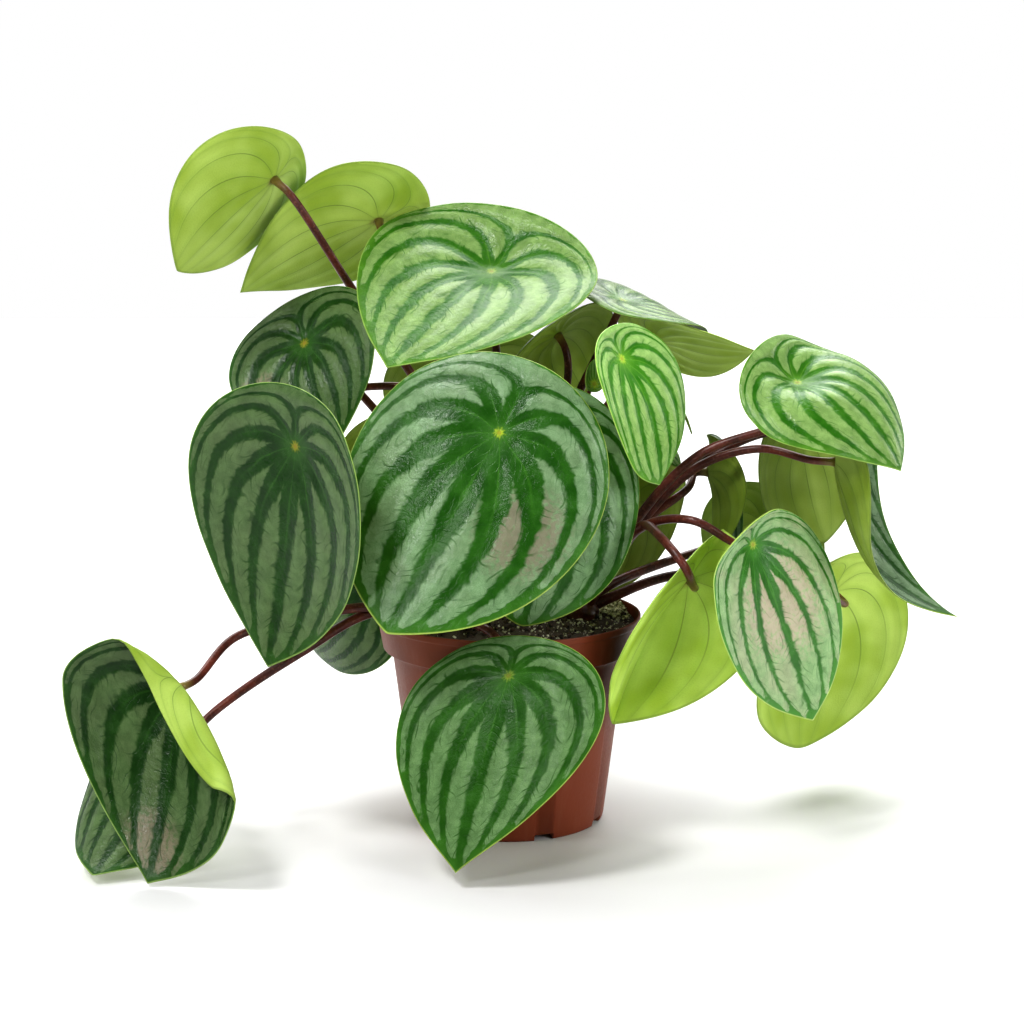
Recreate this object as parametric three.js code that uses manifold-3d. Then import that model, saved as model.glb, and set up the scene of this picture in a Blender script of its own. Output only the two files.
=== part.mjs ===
// A potted watermelon peperomia: round striped leaves on long red-brown stalks,
// grown from three short crowns in a small plastic nursery pot.
// Millimetres, +Z up. The origin is the centre of the pot's underside, which rests on z = 0.
// The plant's front faces -Y, and its right side is +X.

import * as THREE from 'three';
import { mergeVertices } from 'three/addons/utils/BufferGeometryUtils.js';
import Module from 'manifold-3d';

const wasm = await Module();
wasm.setup();

// Driving dimensions of the pot
const POT_HEIGHT = 95;
const RIM_RADIUS = 60;
const BASE_RADIUS = 43.3;
const POT_WALL = 1.3;
const BAND_HEIGHT = 15.5;
const BAND_STEP = 4;
const BAND_TAPER = 2.5;
const FOOT_WIDTH = 5;
const FOOT_HEIGHT = 3;
const CENTRE_FOOT_RADIUS = 27;
const NOTCH_COUNT = 8;
const NOTCH_WIDTH = 9;
const NOTCH_FIRST_ANGLE = -69;
const DRAIN_HOLE_RADIUS = 3;
const POT_SEGMENTS = 36;

// Driving dimensions of the soil and the crowns, and the gap between pieces that touch
const FIT_GAP = 0.3;
const SOIL_EDGE = 90.5;
const SOIL_CROWN = 2.5;
const SOIL_ROUGHNESS = 0.7;
const MOSS_HEAP = { x: 36, y: 26, height: 6, spread: 12 };
const SOIL_SEGMENTS = 28;
const CROWN_ROOT_DEPTH = 70;
const CROWN_SIDES = 10;

// Driving dimensions of the leaves and their stalks
const BLADE_THICKNESS = 0.9;
const BLADE_RAYS = 18;
const BLADE_RINGS = 4;
const DRIP_TIP_SHARE = 0.06;
const DRIP_TIP_PINCH = 0.42;
const DIMPLE_SPREAD = 0.36;
const MARGIN_WAVES = 3;
const FOLD_EXTRA_RINGS = 4;
const STALK_SIDES = 6;
const STALK_STEPS = 9;
const STALK_BASE_RADIUS = 2.4;
const STALK_TIP_RADIUS = 1.7;
const STALK_REACH = 26;
const STALK_ROOT_DEPTH = 8;

const COLOUR = {
  pot: '#94492f',
  soil: '#2b211a',
  stalk: '#6b2f28',
  bright: '#8fb97c',
  mid: '#5f9560',
  dark: '#3d6b49',
  under: '#9db548',
};

// The three crowns: centre on the soil, radius and height of the top
const CROWNS = {
  left: { x: -16, y: -6, radius: 9, top: 103 },
  right: { x: 32, y: 2, radius: 9, top: 104 },
  back: { x: 6, y: 32, radius: 10, top: 105 },
};

// A leaf's usual form. Angles are in degrees.
// face and lean say where the upper side looks: its compass direction, and how far from flat it hangs.
// turn swings the tip in the blade's own plane away from straight downhill.
// droop bends the front half down, lobe bends the back lobe down, cup bends the two sides down.
// twist adds to cup on the left and takes from it on the right, vee creases the midrib upwards,
// skew slides one half towards the tip, and share is the part of the length behind the stalk.
// taper is how fast the blade narrows, dimple how deep it sinks at the stalk, and wave the ripple
// of its margin. stalk scales the stalk's thickness, and reach is how far it runs square to the blade.
// A fold rolls the blade over its upper side: towards which side, how far out it starts, and the
// angle and radius of the roll.
const LEAF = {
  turn: 0,
  droop: 20,
  lobe: 10,
  cup: 12,
  twist: 0,
  vee: 0,
  skew: 0,
  taper: 0.8,
  dimple: 2,
  share: 0.26,
  wave: 0.8,
  stalk: 1,
  reach: STALK_REACH,
  colour: 'mid',
};

// Every leaf, by hand: where its stalk meets the blade, how the blade hangs, its size, and its stalk.
// via lists points that the stalk passes on its way from the crown.
const LEAVES = [
  {
    name: 'leaf_top_left', crown: 'back', at: [-105, 10, 290], colour: 'under',
    face: 150, lean: 54, turn: 29, length: 79, width: 79,
    droop: -5, lobe: -8, cup: -22, twist: -22, taper: 0.65, share: 0.25,
    via: [[-32, 36, 178], [-72, 30, 240]], reach: 10,
  },
  {
    name: 'leaf_top_left_behind', crown: 'back', at: [-61, 50, 271], colour: 'under',
    face: 110, lean: 41, turn: 60, length: 100, width: 84,
    droop: 23, lobe: -23, cup: -4, taper: 0.85, skew: -0.03,
    via: [[-26, 44, 190], [-50, 36, 242]], reach: 12,
  },
  {
    name: 'leaf_top', crown: 'back', at: [-8, 25, 248], colour: 'bright',
    face: 271, lean: 28.5, turn: -30, length: 126, width: 111,
    droop: 9, lobe: -37, cup: -13, taper: 0.88, share: 0.28, skew: 0.03, dimple: 5,
  },
  {
    name: 'leaf_upper_left', crown: 'left', at: [-93, 18, 216], colour: 'dark',
    face: 233, lean: 60, turn: 34, length: 80, width: 80,
    droop: 29, lobe: -6, cup: -10, share: 0.31, skew: 0.07,
  },
  {
    name: 'leaf_front', crown: 'left', at: [-4, -60, 185],
    face: 264, lean: 73, turn: -27, length: 130, width: 112,
    droop: -4, lobe: 7, cup: 22, taper: 0.65, skew: -0.05,
    via: [[-27, -24, 150], [-26, -48, 177]], reach: 8,
  },
  {
    name: 'leaf_left', crown: 'left', at: [-89, -64, 180], colour: 'dark',
    face: 234, lean: 96, turn: -10, length: 124, width: 101,
    droop: -5, lobe: 3, cup: -29, taper: 0.8, share: 0.21, skew: 0.05,
  },
  {
    name: 'leaf_behind_front', crown: 'right', at: [23, -32, 176],
    face: 295, lean: 73, turn: -17, length: 108, width: 85,
    droop: 22, lobe: 7, cup: 11, taper: 0.57, share: 0.25,
  },
  {
    name: 'leaf_small_bright', crown: 'right', at: [48, -38, 214], colour: 'bright',
    face: 321, lean: 61, turn: 16, length: 76, width: 64,
    droop: 45, lobe: -10, cup: -10, share: 0.19,
    via: [[46, 2, 150], [47, -6, 195]], reach: 10,
  },
  {
    name: 'leaf_upper_edge_on', crown: 'back', at: [51, 10, 236], colour: 'bright',
    face: 325, lean: 22, turn: 73, length: 75, width: 66,
    droop: 30, lobe: 20, cup: 5, twist: 12,
  },
  {
    name: 'leaf_upper_right_behind', crown: 'back', at: [67, 32, 217], colour: 'under',
    face: 45, lean: 35, turn: -75, length: 67, width: 58,
    droop: 0, lobe: 10, cup: 10,
  },
  {
    name: 'leaf_centre_behind', crown: 'back', at: [22, 18, 220], colour: 'under',
    face: 135, lean: 50, turn: -45, length: 66, width: 56,
    droop: 40, lobe: 35, cup: 15,
  },
  {
    name: 'leaf_right_top', crown: 'right', at: [126, -22, 202], colour: 'bright',
    face: 274, lean: 24, turn: 49, length: 85, width: 81,
    droop: 55, lobe: -39, cup: 32, twist: -4, taper: 0.79, share: 0.25, skew: -0.04, dimple: 7,
    via: [[58, 0, 138], [85, -10, 169]], reach: 16,
  },
  {
    name: 'leaf_right_folded', crown: 'right', at: [144, -20, 167], colour: 'under',
    face: 352.5, lean: 93.5, turn: 9, length: 121, width: 67,
    droop: -72, lobe: 22, cup: -58, twist: -13, taper: 0.98, skew: -0.1,
    via: [[63, 6, 139], [86, 2, 162], [112, -6, 171]], reach: 10,
  },
  {
    name: 'leaf_right_behind', crown: 'right', at: [136, 26, 176], colour: 'under',
    face: 118, lean: 75, turn: -15, length: 77, width: 68,
    droop: 25, lobe: 10, cup: 32, twist: 8, taper: 0.6,
    via: [[62, 12, 138], [88, 8, 163], [118, 6, 177]], reach: 10,
  },
  {
    name: 'leaf_right_narrow', crown: 'right', at: [92, 24, 156], colour: 'under',
    face: 0, lean: 86, length: 68, width: 38,
    droop: 8, lobe: 8, cup: -50, vee: 25, taper: 0.7,
    via: [[60, 6, 134], [82, 14, 150]], reach: 5,
  },
  {
    name: 'leaf_right_front', crown: 'right', at: [104, -52, 136],
    face: 314, lean: 84, turn: 22, length: 104, width: 78,
    droop: 0, lobe: -55, cup: -5, taper: 0.8, share: 0.14, skew: 0.12,
    via: [[57, -22, 137], [79, -44, 145]], reach: 8,
  },
  {
    name: 'leaf_right_low', crown: 'right', at: [79, -28, 116], colour: 'under',
    face: 113, lean: 67, turn: 26, length: 102, width: 87,
    droop: 27, lobe: 5, cup: 1, vee: -40, taper: 0.67, share: 0.27, skew: 0.12,
    via: [[57, -18, 137], [66, -53, 138], [74, -64, 129], [79, -50, 118]], reach: 4,
  },
  {
    name: 'leaf_right_low_behind', crown: 'right', at: [154, 40, 96], colour: 'under',
    face: 124, lean: 65, turn: 5, length: 108, width: 103,
    droop: 30, lobe: 31, cup: 43, taper: 0.48, share: 0.25, skew: -0.02,
    via: [[74, 8, 110], [112, 3, 111], [140, 6, 104]], reach: 9,
  },
  {
    name: 'leaf_right_inner', crown: 'back', at: [56, 48, 138], colour: 'under',
    face: 50, lean: 84, turn: 18, length: 82, width: 70,
    droop: 12, lobe: -23, cup: 30, taper: 0.86, share: 0.35, skew: 0.27,
  },
  {
    name: 'leaf_floor_left', crown: 'left', at: [-139, -72, 78], colour: 'dark',
    face: 254, lean: 81, turn: -2, length: 101, width: 100,
    droop: -20, lobe: -26, cup: -56, twist: -4, taper: 0.88, share: 0.19, skew: 0.39,
    fold: { towards: 138, from: -1.5, angle: 178, radius: 3.8 },
    via: [[-58, -20, 102], [-92, -26, 98], [-120, -38, 92]], reach: 10,
  },
  {
    name: 'leaf_floor_left_behind', crown: 'left', at: [-154, -50, 42], colour: 'dark',
    face: 253, lean: 55, turn: -4, length: 84, width: 66,
    droop: -25, lobe: 10, cup: 30, taper: 0.7,
    via: [[-60, -18, 99], [-93, -26, 82], [-131, -28, 56]], reach: 8,
  },
  {
    name: 'leaf_behind_rim', crown: 'back', at: [-66, 52, 95],
    face: 230, lean: 73, turn: -54, length: 82, width: 74,
    droop: 29, lobe: 10, cup: 15, via: [[-36, 42, 104], [-56, 55, 101]], reach: 4,
  },
  {
    name: 'leaf_over_pot', crown: 'left', at: [0, -75, 84],
    face: 251, lean: 63, turn: -8, length: 102, width: 89,
    droop: 7, lobe: -11, cup: 15, taper: 0.92, share: 0.17, skew: -0.2,
    via: [[-18, -45, 101], [-6, -62, 98]], reach: 4,
  },
  {
    name: 'leaf_left_inner', crown: 'back', at: [-53, 54, 166], colour: 'under',
    face: 110, lean: 70, length: 68, width: 60,
  },
  {
    name: 'leaf_young_upper', crown: 'right', at: [62, -4, 197],
    face: 350, lean: 16, length: 34, width: 22, dimple: 0.5, stalk: 0.6, reach: 12,
  },
  {
    name: 'leaf_young_lower', crown: 'right', at: [62, 16, 176],
    face: 0, lean: 35, length: 32, width: 24, dimple: 0.5, stalk: 0.6, reach: 12,
  },
  {
    name: 'leaf_bud', crown: 'back', at: [38, -4, 200],
    face: 270, lean: 90, turn: 180, length: 15, width: 10,
    cup: -60, dimple: 0, wave: 0, stalk: 0.5, reach: 3,
  },
  {
    name: 'leaf_back_upper', crown: 'back', at: [-16, 78, 200],
    face: 92, lean: 60, turn: 0, length: 100, width: 92,
  },
  {
    name: 'leaf_back_right', crown: 'back', at: [30, 78, 146],
    face: 68, lean: 72, turn: -12, length: 90, width: 78,
    via: [[3, 60, 132]], reach: 10,
  },
  {
    name: 'leaf_back_left', crown: 'back', at: [-70, 94, 142],
    face: 128, lean: 70, turn: 4, length: 84, width: 76,
    via: [[-14, 74, 126]], reach: 10,
  },
  {
    name: 'leaf_back_low', crown: 'back', at: [-4, 106, 106],
    face: 92, lean: 74, turn: 5, length: 88, width: 78,
  },
  {
    name: 'leaf_back_far_left', crown: 'back', at: [-95, 50, 197],
    face: 142, lean: 68, turn: -10, length: 78, width: 72,
    via: [[-36, 34, 190]], reach: 10,
  },
  {
    name: 'leaf_back_far_right', crown: 'right', at: [124, 64, 126],
    face: 62, lean: 72, turn: 12, length: 80, width: 64,
  },
].map((leaf) => ({ ...LEAF, ...leaf }));

// Geometry helpers

// A closed solid for the boolean library, from a three.js geometry.
function toSolid(geometry) {
  const bare = geometry.clone();
  bare.deleteAttribute('normal');
  bare.deleteAttribute('uv');
  const merged = mergeVertices(bare, 1e-4);
  return new wasm.Manifold(new wasm.Mesh({
    numProp: 3,
    vertProperties: new Float32Array(merged.attributes.position.array),
    triVerts: new Uint32Array(merged.index.array),
  }));
}

// A three.js geometry from a solid.
function toGeometry(solid) {
  const mesh = solid.getMesh();
  const geometry = new THREE.BufferGeometry();
  geometry.setAttribute('position', new THREE.BufferAttribute(mesh.vertProperties, 3));
  geometry.setIndex(new THREE.BufferAttribute(mesh.triVerts, 1));
  geometry.computeVertexNormals();
  return geometry;
}

// A closed geometry from lists of points and triangles.
function fromLists(points, triangles) {
  const geometry = new THREE.BufferGeometry();
  geometry.setAttribute('position', new THREE.Float32BufferAttribute(points.flat(), 3));
  geometry.setIndex(triangles.flat());
  geometry.computeVertexNormals();
  return geometry;
}

// A turned solid about the Z axis from a profile of [radius, height] pairs.
function turned(profile, segments) {
  const outline = profile.map(([radius, height]) => new THREE.Vector2(radius, height));
  return new THREE.LatheGeometry(outline, segments).rotateX(Math.PI / 2);
}

function named(name, geometry, colour, roughness) {
  const material = new THREE.MeshStandardMaterial({ color: COLOUR[colour], roughness, metalness: 0 });
  const mesh = new THREE.Mesh(geometry, material);
  mesh.name = name;
  return mesh;
}

const radians = THREE.MathUtils.degToRad;

// The pot: one moulded shell with a stepped rim band, a foot ring and a flat centre foot

function potWallRadius(height) {
  const bandFoot = POT_HEIGHT - BAND_HEIGHT;
  const wallTop = RIM_RADIUS - BAND_STEP - BAND_TAPER;
  return THREE.MathUtils.mapLinear(height, 0, bandFoot, BASE_RADIUS, wallTop);
}

function makePot() {
  const bandFoot = POT_HEIGHT - BAND_HEIGHT;
  const bandRadius = RIM_RADIUS - BAND_TAPER;
  const floorTop = FOOT_HEIGHT + POT_WALL;
  const profile = [
    [0, 0],
    [CENTRE_FOOT_RADIUS, 0],
    [CENTRE_FOOT_RADIUS + 1, FOOT_HEIGHT],
    [BASE_RADIUS - FOOT_WIDTH, FOOT_HEIGHT],
    [BASE_RADIUS - FOOT_WIDTH + 1, 0],
    [BASE_RADIUS - 0.8, 0],
    [BASE_RADIUS, 0.8],
    [potWallRadius(bandFoot - 1.5), bandFoot - 1.5],
    [bandRadius, bandFoot],
    [RIM_RADIUS, POT_HEIGHT - 0.8],
    [RIM_RADIUS - 0.5, POT_HEIGHT],
    [RIM_RADIUS - POT_WALL, POT_HEIGHT - 0.4],
    [bandRadius - POT_WALL, bandFoot + 1.6],
    [potWallRadius(bandFoot) - POT_WALL, bandFoot],
    [potWallRadius(floorTop) - POT_WALL, floorTop],
    [CENTRE_FOOT_RADIUS, floorTop],
    [CENTRE_FOOT_RADIUS - 1, POT_WALL],
    [0, POT_WALL],
  ];
  let pot = toSolid(turned(profile, POT_SEGMENTS));
  for (let index = 0; index < NOTCH_COUNT; index += 1) {
    const angle = radians(NOTCH_FIRST_ANGLE + (360 / NOTCH_COUNT) * index);
    const notch = new THREE.BoxGeometry(FOOT_WIDTH + 4, NOTCH_WIDTH, 2 * FOOT_HEIGHT);
    notch.translate(BASE_RADIUS - FOOT_WIDTH / 2, 0, 0).rotateZ(angle);
    pot = pot.subtract(toSolid(notch));
    const hole = new THREE.CylinderGeometry(DRAIN_HOLE_RADIUS, DRAIN_HOLE_RADIUS, 10, 12);
    hole.rotateX(Math.PI / 2).translate((CENTRE_FOOT_RADIUS + BASE_RADIUS - FOOT_WIDTH) / 2, 0, 4);
    pot = pot.subtract(toSolid(hole.rotateZ(angle)));
  }
  return named('pot', toGeometry(pot), 'pot', 0.5);
}

// The crowns: short woody stubs that stand in plain holes in the soil

function crownStub(crown, clearance) {
  const radius = crown.radius + clearance;
  const bottom = CROWN_ROOT_DEPTH - clearance;
  const profile = [
    [0, bottom],
    [radius * 0.75, bottom],
    [radius, SOIL_EDGE],
    [radius, SOIL_EDGE + 5],
    [radius * 0.8, crown.top - 4],
    [radius * 0.4, crown.top],
    [0, crown.top + 0.5],
  ];
  return toSolid(turned(profile, CROWN_SIDES).translate(crown.x, crown.y, 0));
}

// The soil: a plug that fills the pot, mounded and crumbly on top, with a mossy heap at the back right

function soilHeight(x, y) {
  const reach = Math.hypot(x, y) / RIM_RADIUS;
  const mound = SOIL_CROWN * (1 - reach * reach);
  const crumbs = Math.sin(x * 0.31 + 1.3) * Math.cos(y * 0.27) + Math.sin(x * 0.17 - y * 0.23 + 0.6);
  const away = Math.hypot(x - MOSS_HEAP.x, y - MOSS_HEAP.y) / MOSS_HEAP.spread;
  const heap = MOSS_HEAP.height * Math.exp(-(away ** 2));
  return SOIL_EDGE + mound + (SOIL_ROUGHNESS * crumbs + heap) * Math.min(1, 4 * (1 - reach));
}

function makeSoil() {
  const bandFoot = POT_HEIGHT - BAND_HEIGHT;
  const bandInside = RIM_RADIUS - BAND_TAPER - POT_WALL - FIT_GAP;
  const floor = POT_WALL + FIT_GAP;
  const channel = FOOT_HEIGHT + POT_WALL + FIT_GAP;
  const inset = POT_WALL + FIT_GAP;
  const profile = [
    [0, floor],
    [CENTRE_FOOT_RADIUS - 1 - FIT_GAP, floor],
    [CENTRE_FOOT_RADIUS - FIT_GAP, channel],
    [potWallRadius(channel) - inset, channel],
    [potWallRadius(bandFoot) - inset, bandFoot + FIT_GAP],
    [bandInside, bandFoot + 2.2],
    [bandInside + 1.5, SOIL_EDGE],
  ];
  const topRings = [50, 42, 33, 24, 14];
  topRings.forEach((radius) => profile.push([radius, SOIL_EDGE + 1]));
  profile.push([0, SOIL_EDGE + 1]);
  const geometry = turned(profile, SOIL_SEGMENTS);
  const place = geometry.attributes.position;
  for (let index = 0; index < place.count; index += 1) {
    if (place.getZ(index) > SOIL_EDGE + 0.5) {
      place.setZ(index, soilHeight(place.getX(index), place.getY(index)));
    }
  }
  let soil = toSolid(geometry);
  Object.values(CROWNS).forEach((crown) => {
    soil = soil.subtract(crownStub(crown, FIT_GAP));
  });
  return named('soil', toGeometry(soil), 'soil', 0.95);
}

// The blades

// Three directions at the stalk: towards the tip, to the blade's left, and out of its upper side.
function bladeAxes(leaf) {
  const face = radians(leaf.face);
  const lean = radians(leaf.lean);
  const turn = radians(leaf.turn);
  const up = new THREE.Vector3(
    Math.cos(face) * Math.sin(lean),
    Math.sin(face) * Math.sin(lean),
    Math.cos(lean),
  );
  const downhill = new THREE.Vector3(
    Math.cos(face) * Math.cos(lean),
    Math.sin(face) * Math.cos(lean),
    -Math.sin(lean),
  );
  const across = new THREE.Vector3().crossVectors(up, downhill);
  const tip = downhill.multiplyScalar(Math.cos(turn)).addScaledVector(across, Math.sin(turn));
  return { tip, left: new THREE.Vector3().crossVectors(up, tip), up };
}

// Half the blade's width at a share of its length: a power curve that is full near the stalk,
// narrows to the tip, and is pinched just before it.
function halfWidth(leaf, share) {
  const peak = 0.5 / (0.5 + leaf.taper);
  const full = peak ** 0.5 * (1 - peak) ** leaf.taper;
  const curve = share ** 0.5 * Math.max(1 - share, 0) ** leaf.taper / full;
  const pinch = 1 - DRIP_TIP_PINCH * Math.exp((share - 1) / DRIP_TIP_SHARE);
  return (leaf.width / 2) * curve * pinch;
}

// A point of the flat blade on one of its rays, ring being 0 at the stalk and 1 at the margin.
function flatPoint(leaf, ray, ring) {
  const round = (2 * Math.PI * ray) / BLADE_RAYS;
  const share = (1 - Math.cos(round)) / 2;
  const side = round <= Math.PI ? 1 : -1;
  return [ring * (share - leaf.share) * leaf.length, ring * side * halfWidth(leaf, share)];
}

// How far along, and how far down, an arc of a given length and turn per millimetre reaches.
function arc(length, rate) {
  if (Math.abs(rate) < 1e-6) {
    return [length, 0];
  }
  return [Math.sin(rate * length) / rate, (1 - Math.cos(rate * length)) / rate];
}

// Rolls the part of the flat blade beyond a straight line over a cylinder, towards its upper side.
function rolled(fold, x, y) {
  const towards = radians(fold.towards);
  const full = radians(fold.angle);
  const beyond = x * Math.cos(towards) + y * Math.sin(towards) - fold.from;
  if (beyond <= 0) {
    return [x, y, 0];
  }
  const wrapped = Math.min(beyond / fold.radius, full);
  const rest = Math.max(beyond - fold.radius * full, 0);
  const along = fold.radius * Math.sin(wrapped) + rest * Math.cos(full) - beyond;
  const height = fold.radius * (1 - Math.cos(wrapped)) + rest * Math.sin(full);
  return [x + along * Math.cos(towards), y + along * Math.sin(towards), height];
}

// The middle surface of the blade: a flat point is skewed, folded, bent across the midrib,
// bent along it, sunk at the stalk and waved at the margin, and then set in place.
function bladePoint(leaf, axes, flatX, flatY) {
  const skewed = flatX + leaf.skew * flatY;
  const [x, y, folded] = leaf.fold ? rolled(leaf.fold, skewed, flatY) : [skewed, flatY, 0];
  const back = leaf.length * leaf.share;
  const front = leaf.length - back;
  const along = x >= 0 ? radians(leaf.droop) / front : radians(leaf.lobe) / back;
  const [forward, drop] = arc(x, along);
  const slope = -along * x;

  const side = Math.sign(y);
  const cup = leaf.cup + (y >= 0 ? leaf.twist : -leaf.twist);
  const across = (radians(cup) * 2) / leaf.width;
  const crease = radians(leaf.vee);
  const [out, fall] = arc(Math.abs(y), across);
  const tilt = across * Math.abs(y) - crease;
  const sideways = side * (out * Math.cos(crease) + fall * Math.sin(crease) + folded * Math.sin(tilt));
  const height = out * Math.sin(crease) - fall * Math.cos(crease) + folded * Math.cos(tilt);

  const reach = Math.hypot(flatX, flatY) / (0.5 * leaf.width);
  const sunk = leaf.dimple * (1 - Math.exp(-((reach / DIMPLE_SPREAD) ** 2)));
  const wave = leaf.wave * reach ** 3 * Math.sin(MARGIN_WAVES * Math.atan2(flatY, flatX) + leaf.face);
  return new THREE.Vector3(...leaf.at)
    .addScaledVector(axes.tip, forward - Math.sin(slope) * height)
    .addScaledVector(axes.left, sideways)
    .addScaledVector(axes.up, Math.cos(slope) * height - drop + sunk + wave);
}

// The upper side's direction at a flat point, from two short steps on the surface.
function bladeNormal(leaf, axes, x, y) {
  const step = 0.2;
  const ahead = bladePoint(leaf, axes, x + step, y).sub(bladePoint(leaf, axes, x - step, y));
  const beside = bladePoint(leaf, axes, x, y + step).sub(bladePoint(leaf, axes, x, y - step));
  return ahead.cross(beside).normalize();
}

function makeBlade(leaf) {
  const axes = bladeAxes(leaf);
  const rings = BLADE_RINGS + (leaf.fold ? FOLD_EXTRA_RINGS : 0);
  const points = [];
  const centre = bladeNormal(leaf, axes, 0, 0);
  [1, -1].forEach((face) => {
    const raise = (face * BLADE_THICKNESS) / 2;
    points.push(bladePoint(leaf, axes, 0, 0).addScaledVector(centre, raise).toArray());
    for (let ring = 1; ring <= rings; ring += 1) {
      for (let ray = 0; ray < BLADE_RAYS; ray += 1) {
        const [x, y] = flatPoint(leaf, ray, ring / rings);
        const normal = bladeNormal(leaf, axes, x * 0.995, y * 0.995);
        points.push(bladePoint(leaf, axes, x, y).addScaledVector(normal, raise).toArray());
      }
    }
  });
  const layer = 1 + rings * BLADE_RAYS;
  const at = (ring, ray) => 1 + (ring - 1) * BLADE_RAYS + (ray % BLADE_RAYS);
  const upper = [];
  for (let ray = 0; ray < BLADE_RAYS; ray += 1) {
    upper.push([0, at(1, ray + 1), at(1, ray)]);
    for (let ring = 1; ring < rings; ring += 1) {
      upper.push([at(ring, ray), at(ring, ray + 1), at(ring + 1, ray + 1)]);
      upper.push([at(ring, ray), at(ring + 1, ray + 1), at(ring + 1, ray)]);
    }
  }
  const lower = upper.map(([a, b, c]) => [a + layer, c + layer, b + layer]);
  const edge = [];
  for (let ray = 0; ray < BLADE_RAYS; ray += 1) {
    const here = at(rings, ray);
    const next = at(rings, ray + 1);
    edge.push([here, next, next + layer], [here, next + layer, here + layer]);
  }
  return named(leaf.name, fromLists(points, [...upper, ...lower, ...edge]), leaf.colour, 0.45);
}

// The stalks

// A stalk's line: out of the crown's top, past its own points, and square onto the blade's underside.
function stalkCurve(leaf) {
  const crown = CROWNS[leaf.crown];
  const axes = bladeAxes(leaf);
  const at = bladePoint(leaf, axes, 0, 0);
  const under = bladeNormal(leaf, axes, 0, 0).negate();
  const heading = new THREE.Vector3(at.x - crown.x, at.y - crown.y, 0).normalize();
  const middle = new THREE.Vector3(crown.x, crown.y, crown.top - STALK_ROOT_DEPTH);
  const root = middle.addScaledVector(heading, crown.radius * 0.3);
  const crease = STALK_TIP_RADIUS * Math.max(0, Math.tan(radians(-leaf.vee)));
  const seat = at.clone().addScaledVector(under, BLADE_THICKNESS / 2 + FIT_GAP + crease);
  const before = seat.clone().addScaledVector(under, leaf.reach);
  if (leaf.via) {
    const via = leaf.via.map((point) => new THREE.Vector3(...point));
    return new THREE.CatmullRomCurve3([root, ...via, before, seat], false, 'centripetal');
  }
  const rise = new THREE.Vector3(0, 0, 0.55 * (at.z - root.z));
  const leave = root.clone().addScaledVector(heading, 6).add(rise);
  return new THREE.CubicBezierCurve3(root, leave, before, seat);
}

// A closed tube that narrows along a curve.
function taperedTube(curve, startRadius, endRadius, steps, sides) {
  const frames = curve.computeFrenetFrames(steps, false);
  const points = [];
  for (let step = 0; step <= steps; step += 1) {
    const centre = curve.getPointAt(step / steps);
    const radius = THREE.MathUtils.lerp(startRadius, endRadius, step / steps);
    for (let side = 0; side < sides; side += 1) {
      const angle = (2 * Math.PI * side) / sides;
      points.push(centre.clone()
        .addScaledVector(frames.normals[step], radius * Math.cos(angle))
        .addScaledVector(frames.binormals[step], radius * Math.sin(angle))
        .toArray());
    }
  }
  const triangles = [];
  for (let step = 0; step < steps; step += 1) {
    for (let side = 0; side < sides; side += 1) {
      const here = step * sides + side;
      const next = step * sides + ((side + 1) % sides);
      triangles.push([here, next, next + sides], [here, next + sides, here + sides]);
    }
  }
  const last = steps * sides;
  for (let side = 1; side < sides - 1; side += 1) {
    triangles.push([0, side + 1, side], [last, last + side, last + side + 1]);
  }
  return fromLists(points, triangles);
}

// One crown with every stalk that grows from it, as one body.
function makeCrown(key) {
  let solid = crownStub(CROWNS[key], 0);
  LEAVES.filter((leaf) => leaf.crown === key).forEach((leaf) => {
    const thick = [STALK_BASE_RADIUS * leaf.stalk, STALK_TIP_RADIUS * leaf.stalk];
    const tube = taperedTube(stalkCurve(leaf), ...thick, STALK_STEPS, STALK_SIDES);
    solid = solid.add(toSolid(tube));
  });
  return named(`crown_${key}`, toGeometry(solid), 'stalk', 0.45);
}

const plant = new THREE.Group();
plant.add(makePot());
plant.add(makeSoil());
Object.keys(CROWNS).forEach((key) => plant.add(makeCrown(key)));
LEAVES.forEach((leaf) => plant.add(makeBlade(leaf)));

export default plant;
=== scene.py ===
import math

import bpy
import numpy as np
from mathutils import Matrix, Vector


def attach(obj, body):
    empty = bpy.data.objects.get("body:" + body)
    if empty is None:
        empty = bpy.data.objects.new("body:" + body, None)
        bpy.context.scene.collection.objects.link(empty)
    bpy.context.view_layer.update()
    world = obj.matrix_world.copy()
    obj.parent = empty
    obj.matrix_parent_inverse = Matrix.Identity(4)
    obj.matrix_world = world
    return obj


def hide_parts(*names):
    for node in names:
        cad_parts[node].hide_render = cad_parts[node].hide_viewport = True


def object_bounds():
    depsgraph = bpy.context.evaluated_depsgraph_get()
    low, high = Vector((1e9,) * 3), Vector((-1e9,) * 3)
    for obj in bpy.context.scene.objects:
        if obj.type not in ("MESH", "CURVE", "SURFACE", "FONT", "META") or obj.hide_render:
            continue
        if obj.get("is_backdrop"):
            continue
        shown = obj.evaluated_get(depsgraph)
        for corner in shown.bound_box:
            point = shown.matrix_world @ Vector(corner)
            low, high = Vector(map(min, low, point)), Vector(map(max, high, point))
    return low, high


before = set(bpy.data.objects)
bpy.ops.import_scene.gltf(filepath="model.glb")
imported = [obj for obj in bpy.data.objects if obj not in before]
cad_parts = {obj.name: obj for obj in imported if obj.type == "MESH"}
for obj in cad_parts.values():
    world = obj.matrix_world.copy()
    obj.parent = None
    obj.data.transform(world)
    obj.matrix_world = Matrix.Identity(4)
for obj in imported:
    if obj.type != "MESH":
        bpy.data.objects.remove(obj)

cad_box = [list(corner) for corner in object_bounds()]


# The view and the studio.
# A long lens at the height of the upper leaves looks slightly down on the plant, which stands
# on a plain pale table under soft light from the upper left and a weaker one from the right.

IMAGE_PIXELS = 1024
LENS_PIXELS = 2000
SENSOR_WIDTH = 36
LOOKS_DOWN = 9.58

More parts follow.
